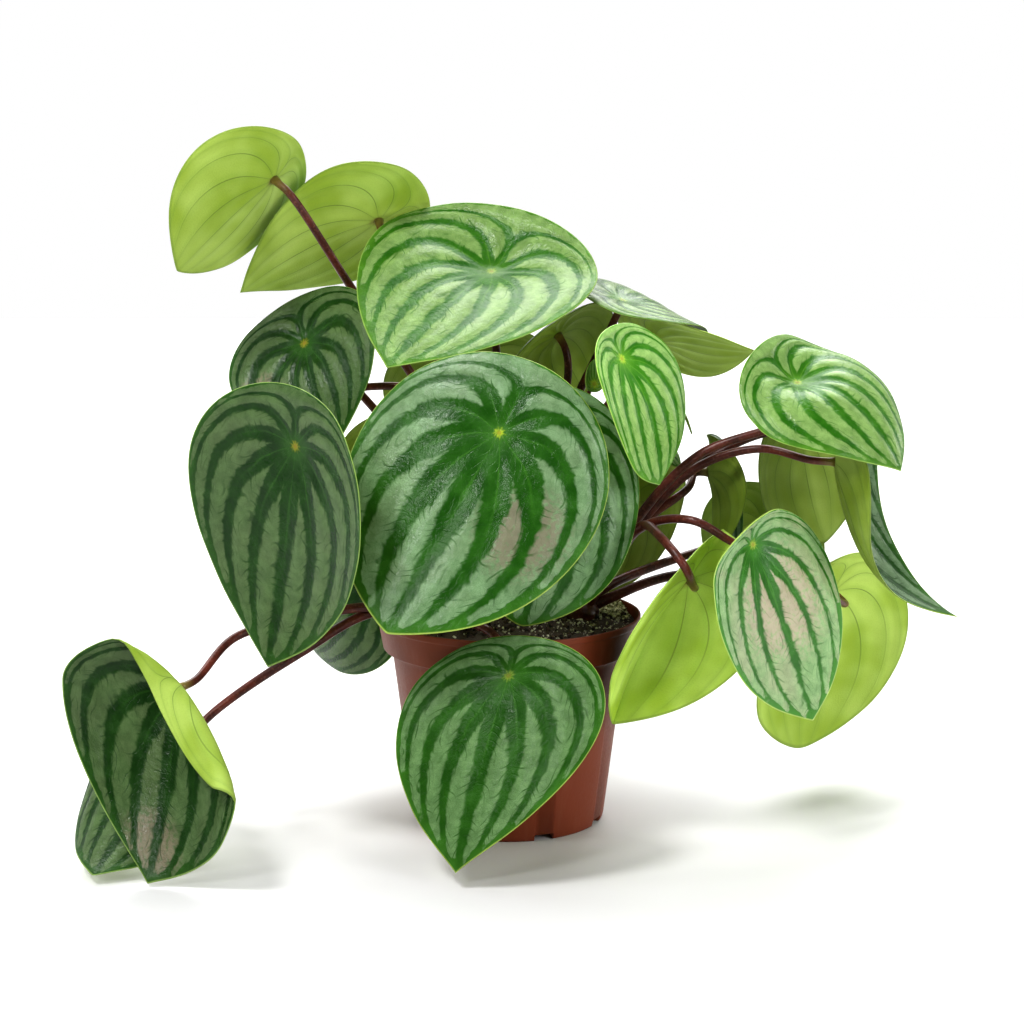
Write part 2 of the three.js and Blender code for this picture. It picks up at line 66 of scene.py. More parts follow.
camera = bpy.data.objects.new("view", bpy.data.cameras.new("view"))
camera.location = (0.0013, -0.893, 0.292)
camera.rotation_euler = (math.radians(90 - LOOKS_DOWN), 0, 0)
camera.data.sensor_width = SENSOR_WIDTH
camera.data.lens = SENSOR_WIDTH * LENS_PIXELS / IMAGE_PIXELS
bpy.context.scene.collection.objects.link(camera)
bpy.context.scene.camera = camera
bpy.context.scene.view_settings.view_transform = "Standard"
bpy.context.scene.view_settings.gamma = 0.87


def soft_light(name, place, size, power, target=(0, 0, 0.15)):
    """A square area light of a given size and power that looks from its place to its target."""
    light = bpy.data.lights.new(name, "AREA")
    light.size = size
    light.energy = power
    holder = bpy.data.objects.new(name, light)
    direction = np.array(target) - np.array(place)
    pitch = math.acos(-direction[2] / np.linalg.norm(direction))
    holder.location = place
    holder.rotation_euler = (pitch, 0, math.atan2(direction[1], direction[0]) - math.pi / 2)
    bpy.context.scene.collection.objects.link(holder)


soft_light("key", (-0.73, -0.73, 1.63), size=0.4, power=24)
soft_light("fill", (1.2, -1.0, 0.7), size=0.6, power=12)
soft_light("front left", (-0.71, -1.34, 1.03), size=0.26, power=9)
soft_light("left", (-1.4, -0.35, 0.9), size=0.3, power=5)
soft_light("top", (-0.1, 0.5, 1.65), size=0.3, power=2.5, target=(0, 0, 0.2))
soft_light("right", (1.6, -0.4, 0.28), size=0.25, power=2.5)
soft_light("right behind", (1.5, 0.65, 0.5), size=0.25, power=2.5)
soft_light("sweep", (0, 2.4, 2.4), size=3.0, power=170, target=(0, 2.2, 0))


def feed(node, *feeds):
    """Fills a node's inputs. A feed is an input's name or number, and a value or a socket to link."""
    for place, value in feeds:
        if isinstance(value, bpy.types.NodeSocket):
            node.id_data.links.new(value, node.inputs[place])
        else:
            node.inputs[place].default_value = value


def add_node(tree, kind, *feeds, **settings):
    """A node with its settings, and with its inputs filled."""
    made = tree.nodes.new(kind)
    for setting, value in settings.items():
        setattr(made, setting, value)
    feed(made, *feeds)
    return made


def calc(operation, *terms):
    """The output of a Math node on the terms, of which the first is a socket."""
    tree = terms[0].id_data
    return add_node(tree, "ShaderNodeMath", *enumerate(terms), operation=operation).outputs[0]


def ramp(value, low, high, start=0.0, end=1.0, curve="SMOOTHSTEP"):
    """Goes from start to end while the value goes from low to high, and stays there beyond them."""
    return add_node(
        value.id_data, "ShaderNodeMapRange", ("Value", value), ("From Min", low), ("From Max", high),
        ("To Min", start), ("To Max", end), interpolation_type=curve,
    ).outputs[0]


studio = bpy.data.worlds.new("studio")
studio.use_nodes = True
direction = add_node(studio.node_tree, "ShaderNodeTexCoord").outputs["Generated"]
looking = add_node(studio.node_tree, "ShaderNodeSeparateXYZ", (0, direction)).outputs
backdrop = ramp(looking["Y"], -0.2, 0.6, 0.1, 1.0)
ceiling = ramp(looking["Z"], 0.25, 0.9, 0.1, 0.4)
feed(studio.node_tree.nodes["Background"], ("Color", calc("MAXIMUM", backdrop, ceiling)))
bpy.context.scene.world = studio


def finish_material(name, roughness, *feeds):
    """A material, and its Principled shader with a roughness and other feeds."""
    material = bpy.data.materials.new(name)
    material.use_nodes = True
    shader = material.node_tree.nodes["Principled BSDF"]
    feed(shader, ("Roughness", roughness), *feeds)
    return material, shader


def blend_colour(share, first, second):
    """The first colour where share is 0 and the second where it is 1."""
    return add_node(
        share.id_data, "ShaderNodeMix", (0, share), (6, first), (7, second), data_type="RGBA",
    ).outputs[2]


def surface_object(name, points, faces, materials):
    """A smooth mesh from points in millimetres and lists of faces, with its place in its points."""
    mesh = bpy.data.meshes.new(name)
    mesh.from_pydata((np.asarray(points, float) * 0.001).tolist(), [], faces)
    for material in materials:
        mesh.materials.append(material)
    mesh.shade_smooth()
    made = bpy.data.objects.new(name, mesh)
    bpy.context.scene.collection.objects.link(made)
    return made


table_material, table_shader = finish_material("pale_table", 0.6)
grain = add_node(table_shader.id_data, "ShaderNodeTexNoise", ("Scale", 3.0), ("Detail", 3.0))
table_tone = blend_colour(grain.outputs["Fac"], (0.66, 0.66, 0.66, 1), (0.7, 0.7, 0.7, 1))
feed(table_shader, ("Base Color", table_tone))
table_corners = [[-3000, -2000, 0], [3000, -2000, 0], [3000, 3200, 0], [-3000, 3200, 0]]
table = surface_object("table_top", table_corners, [[0, 1, 2, 3]], [table_material])
table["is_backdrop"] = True


# The pot.
# A thin moulded polypropylene nursery pot, terracotta brown and satin. It has a stepped rim band,
# a tapered wall, and a foot ring with eight notches and drain holes beside them.

POT_HEIGHT = 95
RIM_RADIUS = 60
BASE_RADIUS = 43.3
POT_WALL = 1.3
BAND_HEIGHT = 15.5
BAND_STEP = 4
BAND_TAPER = 2.5
FOOT_WIDTH = 5
FOOT_HEIGHT = 3
CENTRE_FOOT_RADIUS = 27
CORNER_CUT = 0.9
NOTCH_ANGLES = np.radians(-69 + 45 * np.arange(8))
NOTCH_WIDTH = 9
NOTCH_SLOPE = 0.003
DRAIN_HOLE_RADIUS = 3
DRILL_BOTTOM, DRILL_TOP = 1.0, 7.0
DRILL_SIDES = 24


def wall_radius(height):
    """The pot's outer radius, a straight line from the foot to the bottom of the rim band."""
    share = height / (POT_HEIGHT - BAND_HEIGHT)
    return BASE_RADIUS + share * (RIM_RADIUS - BAND_STEP - BAND_TAPER - BASE_RADIUS)


def rounded_profile(profile, cut):
    """Each corner of a profile becomes a short parabola between points a little before and after it."""
    profile = np.array(profile, float)
    steps = np.diff(profile, axis=0)
    lengths = np.linalg.norm(steps, axis=1, keepdims=True)
    reach = np.minimum(cut, 0.4 * np.minimum(lengths[:-1], lengths[1:]))
    corner = profile[1:-1]
    before = corner - reach * steps[:-1] / lengths[:-1]
    after = corner + reach * steps[1:] / lengths[1:]
    share = np.linspace(0, 1, 5)[None, :, None]
    bends = (1 - share) ** 2 * before[:, None] + 2 * share * (1 - share) * corner[:, None]
    bends = bends + share**2 * after[:, None]
    return np.concatenate([profile[:1], bends.reshape(-1, 2), profile[-1:]])


def turned_faces(rows, columns):
    """Faces of a surface turned round an axis: rows of points round it, between two single points."""
    row = np.arange(rows - 1)[:, None] * columns
    column = np.arange(columns)[None, :]
    following = (column + 1) % columns
    quads = [row + column, row + following, row + columns + following, row + columns + column]
    first = rows * columns
    last = (rows - 1) * columns
    fans = [[first, (c + 1) % columns, c] for c in range(columns)]
    fans += [[first + 1, last + c, last + (c + 1) % columns] for c in range(columns)]
    return np.stack(quads, -1).reshape(-1, 4).tolist() + fans


def round_angles(count):
    """Angles spaced evenly round a circle."""
    return np.linspace(0, 2 * np.pi, count, endpoint=False)


def turned_points(profile, angles):
    """Points of a turned surface: radius times the cosine and sine of each angle, and the height."""
    rows = profile[1:-1]
    ring = rows[:, None, 0] * np.cos(angles), rows[:, None, 0] * np.sin(angles)
    height = np.broadcast_to(rows[:, None, 1], ring[0].shape)
    points = np.stack([ring[0], ring[1], height], -1).reshape(-1, 3)
    ends = [[0, 0, profile[0, 1]], [0, 0, profile[-1, 1]]]
    return np.concatenate([points, ends])


band_foot = POT_HEIGHT - BAND_HEIGHT
band_radius = RIM_RADIUS - BAND_TAPER
floor_top = FOOT_HEIGHT + POT_WALL
foot_radius = BASE_RADIUS - FOOT_WIDTH
pot_profile = rounded_profile([
    [0, 0], [CENTRE_FOOT_RADIUS, 0], [CENTRE_FOOT_RADIUS + 1, FOOT_HEIGHT],
    [foot_radius, FOOT_HEIGHT], [foot_radius + 1, 0], [BASE_RADIUS - 0.2, 0], [BASE_RADIUS + 0.4, 2],
    [wall_radius(band_foot - 2), band_foot - 2], [wall_radius(band_foot) + 0.6, band_foot - 0.3],
    [band_radius, band_foot + 0.2], [RIM_RADIUS - 0.4, POT_HEIGHT - 3.2],
    [RIM_RADIUS, POT_HEIGHT - 2.6], [RIM_RADIUS, POT_HEIGHT], [RIM_RADIUS - POT_WALL, POT_HEIGHT],
    [band_radius - POT_WALL, band_foot + 1.6], [wall_radius(band_foot) - POT_WALL, band_foot],
    [wall_radius(floor_top) - POT_WALL, floor_top], [CENTRE_FOOT_RADIUS, floor_top],
    [CENTRE_FOOT_RADIUS - 1, POT_WALL], [0, POT_WALL],
], CORNER_CUT)
notch_half = NOTCH_WIDTH / 2 / BASE_RADIUS
notch_edges = np.concatenate([NOTCH_ANGLES - notch_half, NOTCH_ANGLES + notch_half])
pot_angles = np.sort(np.concatenate([
    round_angles(144),
    (notch_edges - NOTCH_SLOPE) % (2 * np.pi),
    (notch_edges + NOTCH_SLOPE) % (2 * np.pi),
]))
pot_points = turned_points(pot_profile, pot_angles)
around = np.arctan2(pot_points[:, 1], pot_points[:, 0])
from_notch = np.abs((around[:, None] - NOTCH_ANGLES + np.pi) % (2 * np.pi) - np.pi).min(1)
foot_ring = np.hypot(pot_points[:, 0], pot_points[:, 1]) > foot_radius - 0.5
in_notch = foot_ring & (pot_points[:, 2] < FOOT_HEIGHT) & (from_notch < notch_half)
pot_points[in_notch, 2] = FOOT_HEIGHT


def object_place(shader):
    """The piece's own coordinates, in metres."""
    return add_node(shader.id_data, "ShaderNodeTexCoord").outputs["Object"]


def cloudy(place, scale, detail=2.0):
    """Soft noise between 0 and 1."""
    return add_node(
        place.id_data, "ShaderNodeTexNoise", ("Vector", place), ("Scale", scale), ("Detail", detail),
    ).outputs["Fac"]


def bumpy(height, strength, distance):
    """The surface's direction as if a height raised it by a distance in metres."""
    return add_node(
        height.id_data, "ShaderNodeBump",
        ("Height", height), ("Strength", strength), ("Distance", distance),
    ).outputs["Normal"]


pot_material, pot_shader = finish_material("terracotta_plastic", 0.42, ("Specular IOR Level", 0.22))
place = object_place(pot_shader)
mottled = blend_colour(cloudy(place, 38.0, 5.0), (0.16, 0.03, 0.009, 1), (0.22, 0.048, 0.017, 1))
upright = add_node(place.id_data, "ShaderNodeMapping", ("Vector", place), ("Scale", (1.0, 1.0, 0.12)))
dusty = ramp(cloudy(upright.outputs["Vector"], 210.0, 4.0), 0.55, 0.8, 0.0, 0.1, "LINEAR")
scuffs = cloudy(place, 700.0, 3.0)
feed(
    pot_shader,
    ("Base Color", blend_colour(dusty, mottled, (0.4, 0.19, 0.12, 1))),
    ("Roughness", ramp(scuffs, 0.0, 1.0, 0.34, 0.55, "LINEAR")),
    ("Normal", bumpy(scuffs, 0.12, 0.0004)),
)

pot = surface_object(
    "nursery_pot", pot_points, turned_faces(len(pot_profile) - 2, len(pot_angles)), [pot_material],
)
hole_points = turned_points(np.array([
    [0, DRILL_BOTTOM], [DRAIN_HOLE_RADIUS, DRILL_BOTTOM],
    [DRAIN_HOLE_RADIUS, DRILL_TOP], [0, DRILL_TOP],
]), round_angles(DRILL_SIDES))
hole_ring = (CENTRE_FOOT_RADIUS + foot_radius) / 2
drills, drill_faces = [], []
for index, angle in enumerate(NOTCH_ANGLES):
    offset = index * len(hole_points)
    drills.append(hole_points + [hole_ring * math.cos(angle), hole_ring * math.sin(angle), 0])
    drill_faces += [[corner + offset for corner in face] for face in turned_faces(2, DRILL_SIDES)]
drill = surface_object("drill", np.concatenate(drills), drill_faces, [])
drilling = pot.modifiers.new("drain holes", "BOOLEAN")
drilling.object = drill
drilling.operation = "DIFFERENCE"
bpy.context.view_layer.update()
drilled = bpy.data.meshes.new_from_object(pot.evaluated_get(bpy.context.evaluated_depsgraph_get()))
pot.modifiers.clear()
pot.data = drilled
bpy.data.objects.remove(drill)
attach(pot, "root")
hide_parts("pot")


# The soil.
# Dark moist compost of fine crumbs, nearly level with the rim and a little higher in the middle.
# Light grit and small yellow-green tufts of moss lie on it, most of them on the right.

SOIL_EDGE = 90.5
SOIL_RADIUS = 57.6
SOIL_CROWN = 2.5
SOIL_RINGS = 84
SOIL_SIDES = 200
FIT_GAP = 0.3
RIPPLE_HEIGHT = 0.7
CRUMBS = [(4.1, 1.3, 0, 0), (1.9, 1.0, 9, 0), (0.9, 0.6, 0, 5)]
CRUMB_GRID = 48
MOSS_HEAP = dict(x=36, y=26, height=6, spread=12)
MOSS_CENTRE = (0.036, 0.027, 0.095)
GRAINS_WITHIN = 56

draw = np.random.default_rng(7)
bumps = draw.random((CRUMB_GRID, CRUMB_GRID)) - 0.5


def crumbly(x, y, size):
    """Heights drawn at random at the corners of squares of one size, blended smoothly between them."""
    column, row = x / size + CRUMB_GRID / 2, y / size + CRUMB_GRID / 2
    left, low = np.floor(column).astype(int), np.floor(row).astype(int)
    u, v = column - left, row - low
    u, v = u * u * (3 - 2 * u), v * v * (3 - 2 * v)
    corner = lambda i, j: bumps[(left + i) % CRUMB_GRID, (low + j) % CRUMB_GRID]
    near = corner(0, 0) * (1 - u) + corner(1, 0) * u
    far = corner(0, 1) * (1 - u) + corner(1, 1) * u
    return near * (1 - v) + far * v


def soil_height(x, y):
    """A low mound, and a heap with the form of a bell curve, two long ripples and crumbs of three
    sizes, which all fade towards the pot's wall."""
    reach = np.hypot(x, y) / RIM_RADIUS
    ripples = np.sin(x * 0.31 + 1.3) * np.cos(y * 0.27) + np.sin(x * 0.17 - y * 0.23 + 0.6)
    crumbs = sum(high * crumbly(x + right, y + back, size) for size, high, right, back in CRUMBS)
    fade = np.clip(4 * (1 - reach), 0, 1)
    away = np.hypot(x - MOSS_HEAP["x"], y - MOSS_HEAP["y"]) / MOSS_HEAP["spread"]
    heap = MOSS_HEAP["height"] * np.exp(-(away**2))
    return SOIL_EDGE + SOIL_CROWN * (1 - reach**2) + (RIPPLE_HEIGHT * ripples + crumbs + heap) * fade


soil_inset = POT_WALL + FIT_GAP
soil_floor = floor_top + FIT_GAP
soil_profile = np.array([
    [0, soil_inset], [CENTRE_FOOT_RADIUS - 2, soil_inset], [CENTRE_FOOT_RADIUS, soil_floor],
    [wall_radius(soil_floor) - soil_inset, soil_floor],
    [wall_radius(band_foot) - soil_inset, band_foot + FIT_GAP],
    [band_radius - soil_inset, band_foot + 2.2], [SOIL_RADIUS - 0.3, SOIL_EDGE - 1],
    *([radius, SOIL_EDGE + 1] for radius in np.linspace(SOIL_RADIUS, 0.6, SOIL_RINGS)),
    [0, SOIL_EDGE + 1],
])
soil_points = turned_points(soil_profile, round_angles(SOIL_SIDES))
on_top = soil_points[:, 2] > SOIL_EDGE + 0.5
soil_points[on_top, 2] = soil_height(soil_points[on_top, 0], soil_points[on_top, 1])

soil_material, soil_shader = finish_material("potting_compost", 0.9)
place = object_place(soil_shader)
fibres = cloudy(place, 900.0, 4.0)
earth = blend_colour(fibres, (0.008, 0.006, 0.004, 1), (0.12, 0.085, 0.05, 1))
from_moss = add_node(
    place.id_data, "ShaderNodeVectorMath", (0, place), (1, MOSS_CENTRE), operation="DISTANCE",
).outputs["Value"]
moss_here = calc("MULTIPLY", cloudy(place, 160.0, 3.0), ramp(from_moss, 0.012, 0.045, 0.5, 0.0))
moss_share = ramp(moss_here, 0.2, 0.3, 0.0, 1.0, "LINEAR")
feed(
    soil_shader,
    ("Base Color", blend_colour(moss_share, earth, (0.2, 0.19, 0.055, 1))),
    ("Normal", bumpy(fibres, 0.8, 0.0012)),
)
soil = surface_object(
    "compost", soil_points, turned_faces(len(soil_profile) - 2, SOIL_SIDES), [soil_material],
)
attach(soil, "root")
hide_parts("soil")

golden = (1 + math.sqrt(5)) / 2
grain_corners = np.array([
    [-1, golden, 0], [1, golden, 0], [-1, -golden, 0], [1, -golden, 0],
    [0, -1, golden], [0, 1, golden], [0, -1, -golden], [0, 1, -golden],
    [golden, 0, -1], [golden, 0, 1], [-golden, 0, -1], [-golden, 0, 1],
]) / 1.9
grain_faces = np.array([
    [0, 11, 5], [0, 5, 1], [0, 1, 7], [0, 7, 10], [0, 10, 11], [1, 5, 9], [5, 11, 4],
    [11, 10, 2], [10, 7, 6], [7, 1, 8], [3, 9, 4], [3, 4, 2], [3, 2, 6], [3, 6, 8],
    [3, 8, 9], [4, 9, 5], [2, 4, 11], [6, 2, 10], [8, 6, 7], [9, 8, 1],
])


def scatter_grains(name, material, count, sizes, centre, spread, pile):
    """Small lumps of twenty faces, each stretched at random, resting half sunk in the soil about a
    centre, or heaped over it to a height that falls off from the centre like a bell curve."""
    x = centre[0] + spread * draw.standard_normal(count)
    y = centre[1] + spread * draw.standard_normal(count)
    kept = np.hypot(x, y) < GRAINS_WITHIN
    x, y = x[kept], y[kept]
    size = sizes[0] + (sizes[1] - sizes[0]) * draw.random(len(x)) ** 2
    shape = grain_corners * (1 + 0.25 * draw.standard_normal((len(x), 12, 3)))
    shape = shape * size[:, None, None] * (0.7 + 0.6 * draw.random((len(x), 1, 3)))
    away = np.hypot(x - centre[0], y - centre[1]) / spread
    heights = soil_height(x, y) + 0.1 * size + pile * np.exp(-0.5 * away**2) * draw.random(len(x))
    points = shape + np.stack([x, y, heights], -1)[:, None]
    faces = grain_faces + 12 * np.arange(len(x))[:, None, None]
    grains = surface_object(name, points.reshape(-1, 3), faces.reshape(-1, 3).tolist(), [material])
    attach(grains, "root")


def grain_material(name, dark, light, roughness):
    """Lumps that vary between two colours from one grain to the next, with a rough surface."""
    material, shader = finish_material(name, roughness)
    share = ramp(cloudy(object_place(shader), 700.0), 0.4, 0.6, 0.0, 1.0, "LINEAR")
    feed(shader, ("Base Color", blend_colour(share, (*dark, 1), (*light, 1))))
    return material


crumb_material = grain_material("compost_crumbs", (0.01, 0.007, 0.005), (0.09, 0.055, 0.035), 0.95)
grit_material = grain_material("light_grit", (0.5, 0.46, 0.34), (0.95, 0.92, 0.75), 0.8)
moss_material = grain_material("moss_tufts", (0.2, 0.2, 0.06), (0.95, 0.93, 0.62), 0.9)
scatter_grains("soil_crumbs", crumb_material, 900, sizes=(0.5, 1.7), centre=(0, 0), spread=26, pile=0)
scatter_grains("soil_grit", grit_material, 1300, sizes=(0.25, 0.8), centre=(22, 0), spread=27, pile=0)
scatter_grains("soil_moss", moss_material, 2200, sizes=(0.45, 1.1), centre=(45, 23), spread=9, pile=6.5)


# The blades' form.
# Every leaf is a round fleshy blade on a stalk that meets it well inside its margin. It is sunk at
# that point, puffed up between its veins, and bent to its own shape, and its margin is thin and round.

BLADE_THICKNESS = 0.9
DRIP_TIP_SHARE = 0.06
DRIP_TIP_PINCH = 0.42
DIMPLE_SPREAD = 0.36
MARGIN_WAVES = 3
PUFF_RISES, PUFF_FALLS = (0.1, 0.4), (0.82, 1.0)
UNEVEN_HEIGHT = 0.35
BLADE_RAYS = 108
MARGIN_START = 0.955
RING_SHARES = np.concatenate([np.linspace(0, MARGIN_START, 30)[1:], [0.972, 0.986, 0.996, 1.0]])
VEIN_ANGLES = [0, 30, 64, 102, 142, 180, 200]
VEIN_PLACES = [0, 1, 2, 3, 4, 5, 5.5]
VEIN_REACH = 0.92
FRONT_VEIN_POWER, BACK_VEIN_POWER = 1.6, 6.0
HALVINGS = 26
FLAT_SPACING = 211
UV_EDGE = 0.02

# A leaf's values are in millimetres and degrees. face and lean say where the upper side looks, turn
# swings the tip off downhill, and droop, lobe and cup bend the front, the back and the sides down.
# The leaf's brightness number brightens or darkens the whole leaf, partly for its own shade of green
# and partly as painted light and shade for how brightly that leaf is lit.
USUAL_LEAF = dict(
    turn=0, droop=20, lobe=10, cup=12, twist=0, vee=0, skew=0, taper=0.8, dimple=2, share=0.26,
    wave=0.8, stalk=1, reach=26, via=[], fold=None, puff=0.55, tone_and_painted_light=0.0, blush=(0, 0, 0.01),
)


def blade_axes(leaf):
    """The directions towards the tip, to the left and out of the upper side, from its angles."""
    face, lean, turn = np.radians([leaf["face"], leaf["lean"], leaf["turn"]])
    up = np.array([np.cos(face) * np.sin(lean), np.sin(face) * np.sin(lean), np.cos(lean)])
    downhill = np.array([np.cos(face) * np.cos(lean), np.sin(face) * np.cos(lean), -np.sin(lean)])
    tip = downhill * np.cos(turn) + np.cross(up, downhill) * np.sin(turn)
    return tip, np.cross(up, tip), up


def half_width(leaf, share):
    """The square root of the share times a power of what is left, scaled to the width, and pinched
    at the tip."""
    taper = leaf["taper"]
    peak = 0.5 / (0.5 + taper)
    curve = share**0.5 * (1 - share) ** taper / (peak**0.5 * (1 - peak) ** taper)
    return leaf["width"] / 2 * curve * (1 - DRIP_TIP_PINCH * np.exp((share - 1) / DRIP_TIP_SHARE))


def along_arc(length, rate):
    """How far along and how far down an arc reaches that turns at a rate per millimetre."""
    rate = np.where(np.abs(rate) < 1e-6, 1e-6, rate)
    return np.sin(rate * length) / rate, (1 - np.cos(rate * length)) / rate


def rolled(fold, x, y):
    """What lies beyond a straight line is wrapped on a cylinder, and its rest goes on straight."""
    towards, full = np.radians([fold["towards"], fold["angle"]])
    beyond = np.maximum(x * np.cos(towards) + y * np.sin(towards) - fold["start"], 0)
    wrapped = np.minimum(beyond / fold["radius"], full)
    rest = np.maximum(beyond - fold["radius"] * full, 0)
    along = fold["radius"] * np.sin(wrapped) + rest * np.cos(full) - beyond
    height = fold["radius"] * (1 - np.cos(wrapped)) + rest * np.sin(full)
    return x + along * np.cos(towards), y + along * np.sin(towards), height


def blade_point(leaf, flat_x, flat_y):
    """The blade's middle surface: a flat point is skewed, rolled, bent across and along the midrib by
    arcs, sunk by a bell curve at the stalk, and waved with the cube of its distance from it."""
    tip, left, up = blade_axes(leaf)
    x, y, folded = flat_x + leaf["skew"] * flat_y, flat_y, 0.0
    if leaf["fold"]:
        x, y, folded = rolled(leaf["fold"], x, y)
    back = leaf["length"] * leaf["share"]
    front = leaf["length"] - back
    along = np.where(x >= 0, np.radians(leaf["droop"]) / front, np.radians(leaf["lobe"]) / back)
    forward, drop = along_arc(x, along)
    across = np.radians(leaf["cup"] + np.where(y >= 0, 1, -1) * leaf["twist"]) * 2 / leaf["width"]
    crease = np.radians(leaf["vee"])
    out, fall = along_arc(np.abs(y), across)
    tilt = across * np.abs(y) - crease
    sideways = np.sign(y) * (out * np.cos(crease) + fall * np.sin(crease) + folded * np.sin(tilt))
    height = out * np.sin(crease) - fall * np.cos(crease) + folded * np.cos(tilt)
    reach = np.hypot(flat_x, flat_y) / (0.5 * leaf["width"])
    sunk = leaf["dimple"] * (1 - np.exp(-((reach / DIMPLE_SPREAD) ** 2)))
    wave = leaf["wave"] * reach**3 * np.sin(MARGIN_WAVES * np.arctan2(flat_y, flat_x) + leaf["face"])
    return (
        np.array(leaf["at"], float)
        + (forward + np.sin(along * x) * height)[..., None] * tip
        + np.asarray(sideways)[..., None] * left
        + (np.cos(along * x) * height - drop + sunk + wave)[..., None] * up
    )


def unit(vectors):
    """Vectors brought to length one."""
    return vectors / np.linalg.norm(vectors, axis=-1, keepdims=True)


def blade_normal(leaf, x, y):
    """The upper side's direction: the cross product of two short steps on the middle surface."""
    step = 0.2
    ahead = blade_point(leaf, x + step, y) - blade_point(leaf, x - step, y)
    beside = blade_point(leaf, x, y + step) - blade_point(leaf, x, y - step)
    return unit(np.cross(ahead, beside))


def blade_centre(leaf):
    """The middle surface's point and direction where the stalk meets the blade."""
    centre = np.zeros(1)
    return blade_point(leaf, centre, centre)[0], blade_normal(leaf, centre, centre)[0]


def vein_place(angle, ring):
    """Counts the main veins outwards from the midrib, so that each lies at a whole number. A vein
    that leaves the stalk at angle a is seen at a times (1 - (VEIN_REACH ring) to the power p), where
    p is greater at the back, because the back veins turn along the margin. Halving finds a."""
    low, high = np.zeros_like(angle), np.full_like(angle, 400.0)
    for _ in range(HALVINGS):
        middle = (low + high) / 2
        bend = (np.minimum(middle, 180) / 180) ** 2
        power = FRONT_VEIN_POWER + (BACK_VEIN_POWER - FRONT_VEIN_POWER) * bend
        short = middle * (1 - (VEIN_REACH * ring) ** power) < angle
        low, high = np.where(short, middle, low), np.where(short, high, middle)
    return np.interp(low, VEIN_ANGLES, VEIN_PLACES)


def smooth_step(value, low, high):
    """Rises from 0 at low to 1 at high along a smooth cubic."""
    share = np.clip((value - low) / (high - low), 0, 1)
    return share * share * (3 - 2 * share)


def carry_number(piece, label, numbers):
    """Gives each point of a mesh a number that its material can read."""
    attribute = piece.data.attributes.new(label, "FLOAT", "POINT")
    attribute.data.foreach_set("value", numbers.astype(np.float32))


